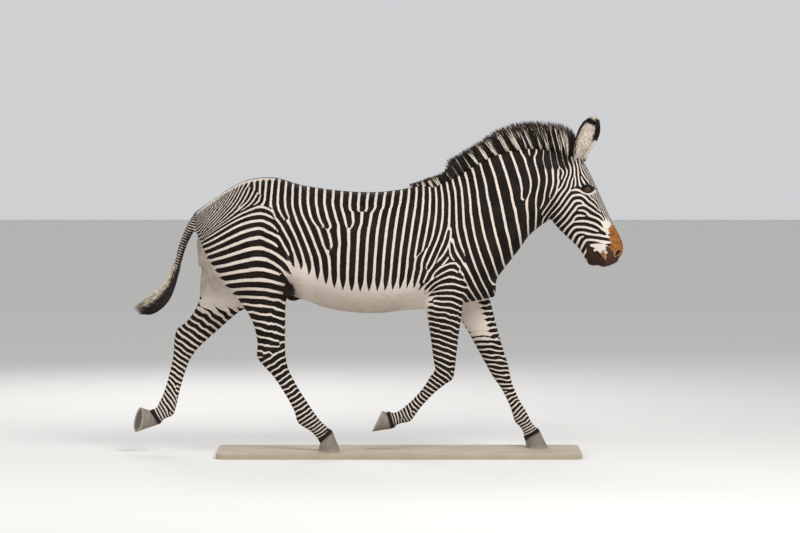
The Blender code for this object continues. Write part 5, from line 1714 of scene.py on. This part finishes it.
def eye_finish():
    eye = Finish("wet_eye")
    fibres = eye.noise(eye.place(), 420.0, 3.0, 0.6)
    iris = eye.blend(fibres.fade(0.3, 0.75), (0.020, 0.009, 0.004), (0.075, 0.034, 0.014))
    iris = eye.blend(eye.marked("iris").fade(0.82, 1.0), iris, (0.006, 0.004, 0.003))
    colour = eye.blend(eye.marked("pupil").fade(0.92, 1.08), (0.002, 0.002, 0.003), iris)
    eye.set(Base_Color=colour, Roughness=0.10, Coat_Weight=1.0, Coat_Roughness=0.03, Specular_IOR_Level=0.5)
    return eye.material


HOOF_WALL, HOOF_HOLLOW, HOOF_POINTS, HOOF_RINGS = 0.009, 0.006, 56, 16
HOOF_LIP, HOOF_SPREAD, HOOF_GAP = -0.003, -0.10, 0.0004


def hoof_shell(kind, side):
    """A hoof: the wall from the coronet down, its rounded ground edge, and the hollow sole inside it."""
    top = np.array(leg_rows(kind, side)[-1])
    toe_x, toe_z, heel_x, heel_z, turn = SOLES[kind, side]
    ends = (toe_x, toe_z + HOOF_GAP, heel_x, heel_z + HOOF_GAP)
    sole = np.array([*ends, top[4], HOOF_WIDTH, HOOF_SPREAD, turn])
    start = top.copy()
    start[5] += HOOF_LIP
    down = (sole[:4] - top[:4]).reshape(2, 2).mean(axis=0)
    rings = []
    for t in np.linspace(0, 0.965, HOOF_RINGS):
        row = start + (sole - start) * t
        shape = ring(row, HOOF_POINTS, squareness=1.0)
        middle = shape.mean(axis=0)
        fullness = 1 - 0.035 * np.exp(-((t / 0.10) ** 2)) - 0.022 * sin(pi * min(t * 1.1, 1.0))
        fullness += 0.006 * sin(t * 34)
        rings.append(middle + (shape - middle) * fullness)
    ground = ring(sole, HOOF_POINTS, squareness=1.0)
    middle = ground.mean(axis=0)
    depth = np.array([down[0], 0, down[1]]) / np.linalg.norm(down)
    normal = long_one(np.cross(ground[14] - ground[0], ground[28] - ground[0]))
    normal *= np.sign(normal @ depth)
    size = np.linalg.norm(ground - middle, axis=1)[:, None]
    rings.append(middle + (ground - middle) * 0.992)
    rings.append(middle + (ground - middle) * (1 - HOOF_WALL / size))
    rings.append(middle + (ground - middle) * (1 - HOOF_WALL * 1.35 / size) - normal * HOOF_HOLLOW * 0.6)
    rings.append(middle + (ground - middle) * 0.35 - normal * HOOF_HOLLOW)
    middle = rings[0].mean(axis=0)
    rings.insert(0, middle + (rings[0] - middle) * 0.80)
    name = f"hoof_shell_{kind}_{SIDE_WORDS[side]}"
    shell = object_from(name, np.concatenate(rings), tube_faces(len(rings), HOOF_POINTS))
    tell = np.repeat(np.concatenate([[0], np.linspace(0, 1, HOOF_RINGS + 1), [1.1, 1.3, 1.4]]), HOOF_POINTS)
    mark(shell, "down", tell)
    only(shell)
    bpy.ops.object.mode_set(mode="EDIT")
    bpy.ops.mesh.select_all(action="SELECT")
    bpy.ops.mesh.normals_make_consistent(inside=False)
    bpy.ops.object.mode_set(mode="OBJECT")
    bpy.ops.object.shade_smooth_by_angle(angle=radians(50))
    return shell


def horn_finish():
    horn = Finish("hoof_horn")
    here = horn.place()
    down = horn.marked("down")
    streak = horn.noise(horn.place((220, 220, 18)), 1.0, 3.0, 0.6)
    inputs = {"W": down * 26.0, "Scale": 1.0, "Detail": 2.0}
    growth = horn.node("ShaderNodeTexNoise", {"noise_dimensions": "1D"}, inputs)
    grey = horn.blend(streak.fade(0.3, 0.7), (0.155, 0.128, 0.104), (0.275, 0.232, 0.188))
    worn = horn.blend(horn.noise(here, 70.0, 3.0).fade(0.35, 0.7), (0.27, 0.23, 0.18), (0.38, 0.33, 0.27))
    dark = horn.blend(streak, (0.045, 0.036, 0.030), (0.075, 0.060, 0.048))
    colour = horn.blend(down.fade(0.75, 1.0), grey, worn)
    colour = horn.blend(down.fade(0.02, 0.16), dark, colour)
    colour = horn.blend(down.fade(1.2, 1.35), colour, (0.10, 0.085, 0.070))
    horn.set(Base_Color=colour, Roughness=0.45 + streak * 0.2, Specular_IOR_Level=0.35)
    horn.set(Normal=horn.bump(growth + streak * 0.5, 0.45, 0.0016))
    return horn.material


def base_finish():
    """Matt sand-coloured paint with a fine grain, a little darker where it has been handled."""
    base = Finish("base_paint")
    here = base.place()
    grain = base.noise(here, 420.0, 3.0, 0.65)
    cloud = base.noise(here, 5.0, 4.0, 0.55)
    colour = base.blend(cloud.fade(0.3, 0.7), (0.36, 0.30, 0.225), (0.42, 0.355, 0.27))
    colour = base.blend(grain.fade(0.62, 0.78) * 0.35, colour, (0.20, 0.16, 0.12))
    base.set(Base_Color=colour, Roughness=0.72 + grain * 0.15, Specular_IOR_Level=0.3)
    base.set(Normal=base.bump(grain, 0.3, 0.0006))
    return base.material


# ---- the scene ----


def view_from_the_side():
    """A long lens, a little above level, square to the animal's right side."""
    camera = bpy.data.objects.new("camera", bpy.data.cameras.new("camera"))
    bpy.context.scene.collection.objects.link(camera)
    back = Vector((0, -cos(CAMERA_RISE), sin(CAMERA_RISE)))
    camera.location = Vector(CAMERA_TARGET) + back * CAMERA_DISTANCE
    camera.rotation_euler = (-back).to_track_quat("-Z", "Y").to_euler()
    camera.data.sensor_width = 36.0
    camera.data.lens = 36.0 * CAMERA_DISTANCE / VIEW_WIDTH
    camera.data.clip_end = 200.0
    bpy.context.scene.camera = camera


CAMERA_RISE, CAMERA_DISTANCE, VIEW_WIDTH = radians(3.0), 28.0, 4.4
CAMERA_TARGET, LIT_PLACE = (0.125, 0.0, 1.039), (0, 0, 1.0)


def soft_light(name, place, size, power):
    light = bpy.data.objects.new(name, bpy.data.lights.new(name, "AREA"))
    bpy.context.scene.collection.objects.link(light)
    light.data.shape = "DISK"
    light.data.size = size
    light.data.energy = power
    light.location = place
    light.rotation_euler = (Vector(LIT_PLACE) - Vector(place)).to_track_quat("-Z", "Y").to_euler()


def studio():
    """A plain pale floor and soft lights above, in front and behind."""
    bpy.ops.object.select_all(action="DESELECT")
    bpy.ops.mesh.primitive_plane_add(size=60.0)
    floor = bpy.context.object
    floor.name = "studio_floor"
    paint = Finish("studio_floor_paint")
    paint.set(Base_Color=(0.70, 0.685, 0.66), Roughness=0.9)
    floor.data.materials.append(paint.material)
    soft_light("key_light", (2.2, -4.5, 5.2), 3.0, 300)
    soft_light("fill_light", (-4.5, -4.0, 2.6), 4.0, 70)
    soft_light("rim_light", (-1.5, 5.0, 4.0), 3.5, 140)
    world = bpy.data.worlds.new("studio")
    bpy.context.scene.world = world
    world.use_nodes = True
    sky = world.node_tree.nodes["Background"]
    sky.inputs["Color"].default_value = (0.80, 0.81, 0.83, 1.0)
    sky.inputs["Strength"].default_value = 0.78
    bpy.context.scene.view_settings.view_transform = "Standard"


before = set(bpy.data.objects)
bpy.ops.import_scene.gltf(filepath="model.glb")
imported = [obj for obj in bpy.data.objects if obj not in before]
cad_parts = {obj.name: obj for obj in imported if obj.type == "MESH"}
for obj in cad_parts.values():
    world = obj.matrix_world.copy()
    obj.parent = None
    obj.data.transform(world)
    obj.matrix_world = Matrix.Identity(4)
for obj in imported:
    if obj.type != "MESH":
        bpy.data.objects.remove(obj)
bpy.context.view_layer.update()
base_low, base_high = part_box("stand_base")
SHIFT = Vector(((base_low[0] + base_high[0]) / 2 - BASE_MIDDLE_X, 0.0, base_high[2]))

view_from_the_side()
studio()

skin = striped_skin()
shape_head(skin)
shape_thigh(skin)
corners = triangles_of(skin)
places, facings = places_of(skin), facings_of(skin)
edges = ends_between(corners)
legs = leg_places(places)
waves, pitch = stripe_waves(places, facings, edges, legs)
start = int(np.argmin(np.linalg.norm(places - np.array(STRIPES_START), axis=1)))
turn = wavering(stripe_turns(places, waves, edges, start), places, waves, legs)
mark(skin, "band", corner_turns(corners, places, waves, turn).ravel(), "CORNER")
mark(skin, "pitch", pitch)
mark(skin, "upright", np.maximum(legs[3], rise(places[:, 0], 0.35, 0.55)))
coat_marks(skin, places, facings, legs)
only(skin)
bpy.ops.object.shade_smooth()

short_coat, soft_hair = coat_finish("short_coat"), soft_hair_finish()
FLESH = ["trunk", "neck", "head", "tail_dock", "ear_right", "ear_left"]
for kind in ("fore", "hind"):
    for word in ("right", "left"):
        FLESH += [f"{kind}leg_{word}_upper", f"{kind}leg_{word}_lower"]
finished = [(skin, short_coat, "coat", FLESH)]
finished += [(tufts, short_coat, "coat", []) for tufts in body_coat(skin, corners, places, facings, legs)]
finished.append((mane_hair(skin, corners, places), striped_hair_finish(), "hair", ["mane"]))
finished.append((tail_hair(), tail_hair_finish(), "hair", ["tail_tuft"]))
eye_look, horn = eye_finish(), horn_finish()
for side in SIDES:
    finished.append((ear_hair(side), soft_hair, "hair", []))
    finished.append((lashes(side), soft_hair, "hair", []))
    finished.append((eyeball(side), eye_look, "eye", [f"eye_{SIDE_WORDS[side]}"]))
    for kind in ("fore", "hind"):
        finished.append((coronet_hair(kind, side), soft_hair, "hair", []))
        finished.append((hoof_shell(kind, side), horn, "horn", [f"hoof_{kind}_{SIDE_WORDS[side]}"]))
for piece, look, slot, nodes in finished:
    piece.data.transform(Matrix.Translation(SHIFT))
    piece.data.materials.clear()
    piece.data.materials.append(look)
    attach(piece, "root")
    if nodes:
        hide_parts(*nodes)
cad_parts["stand_base"].material_slots[0].material = base_finish()
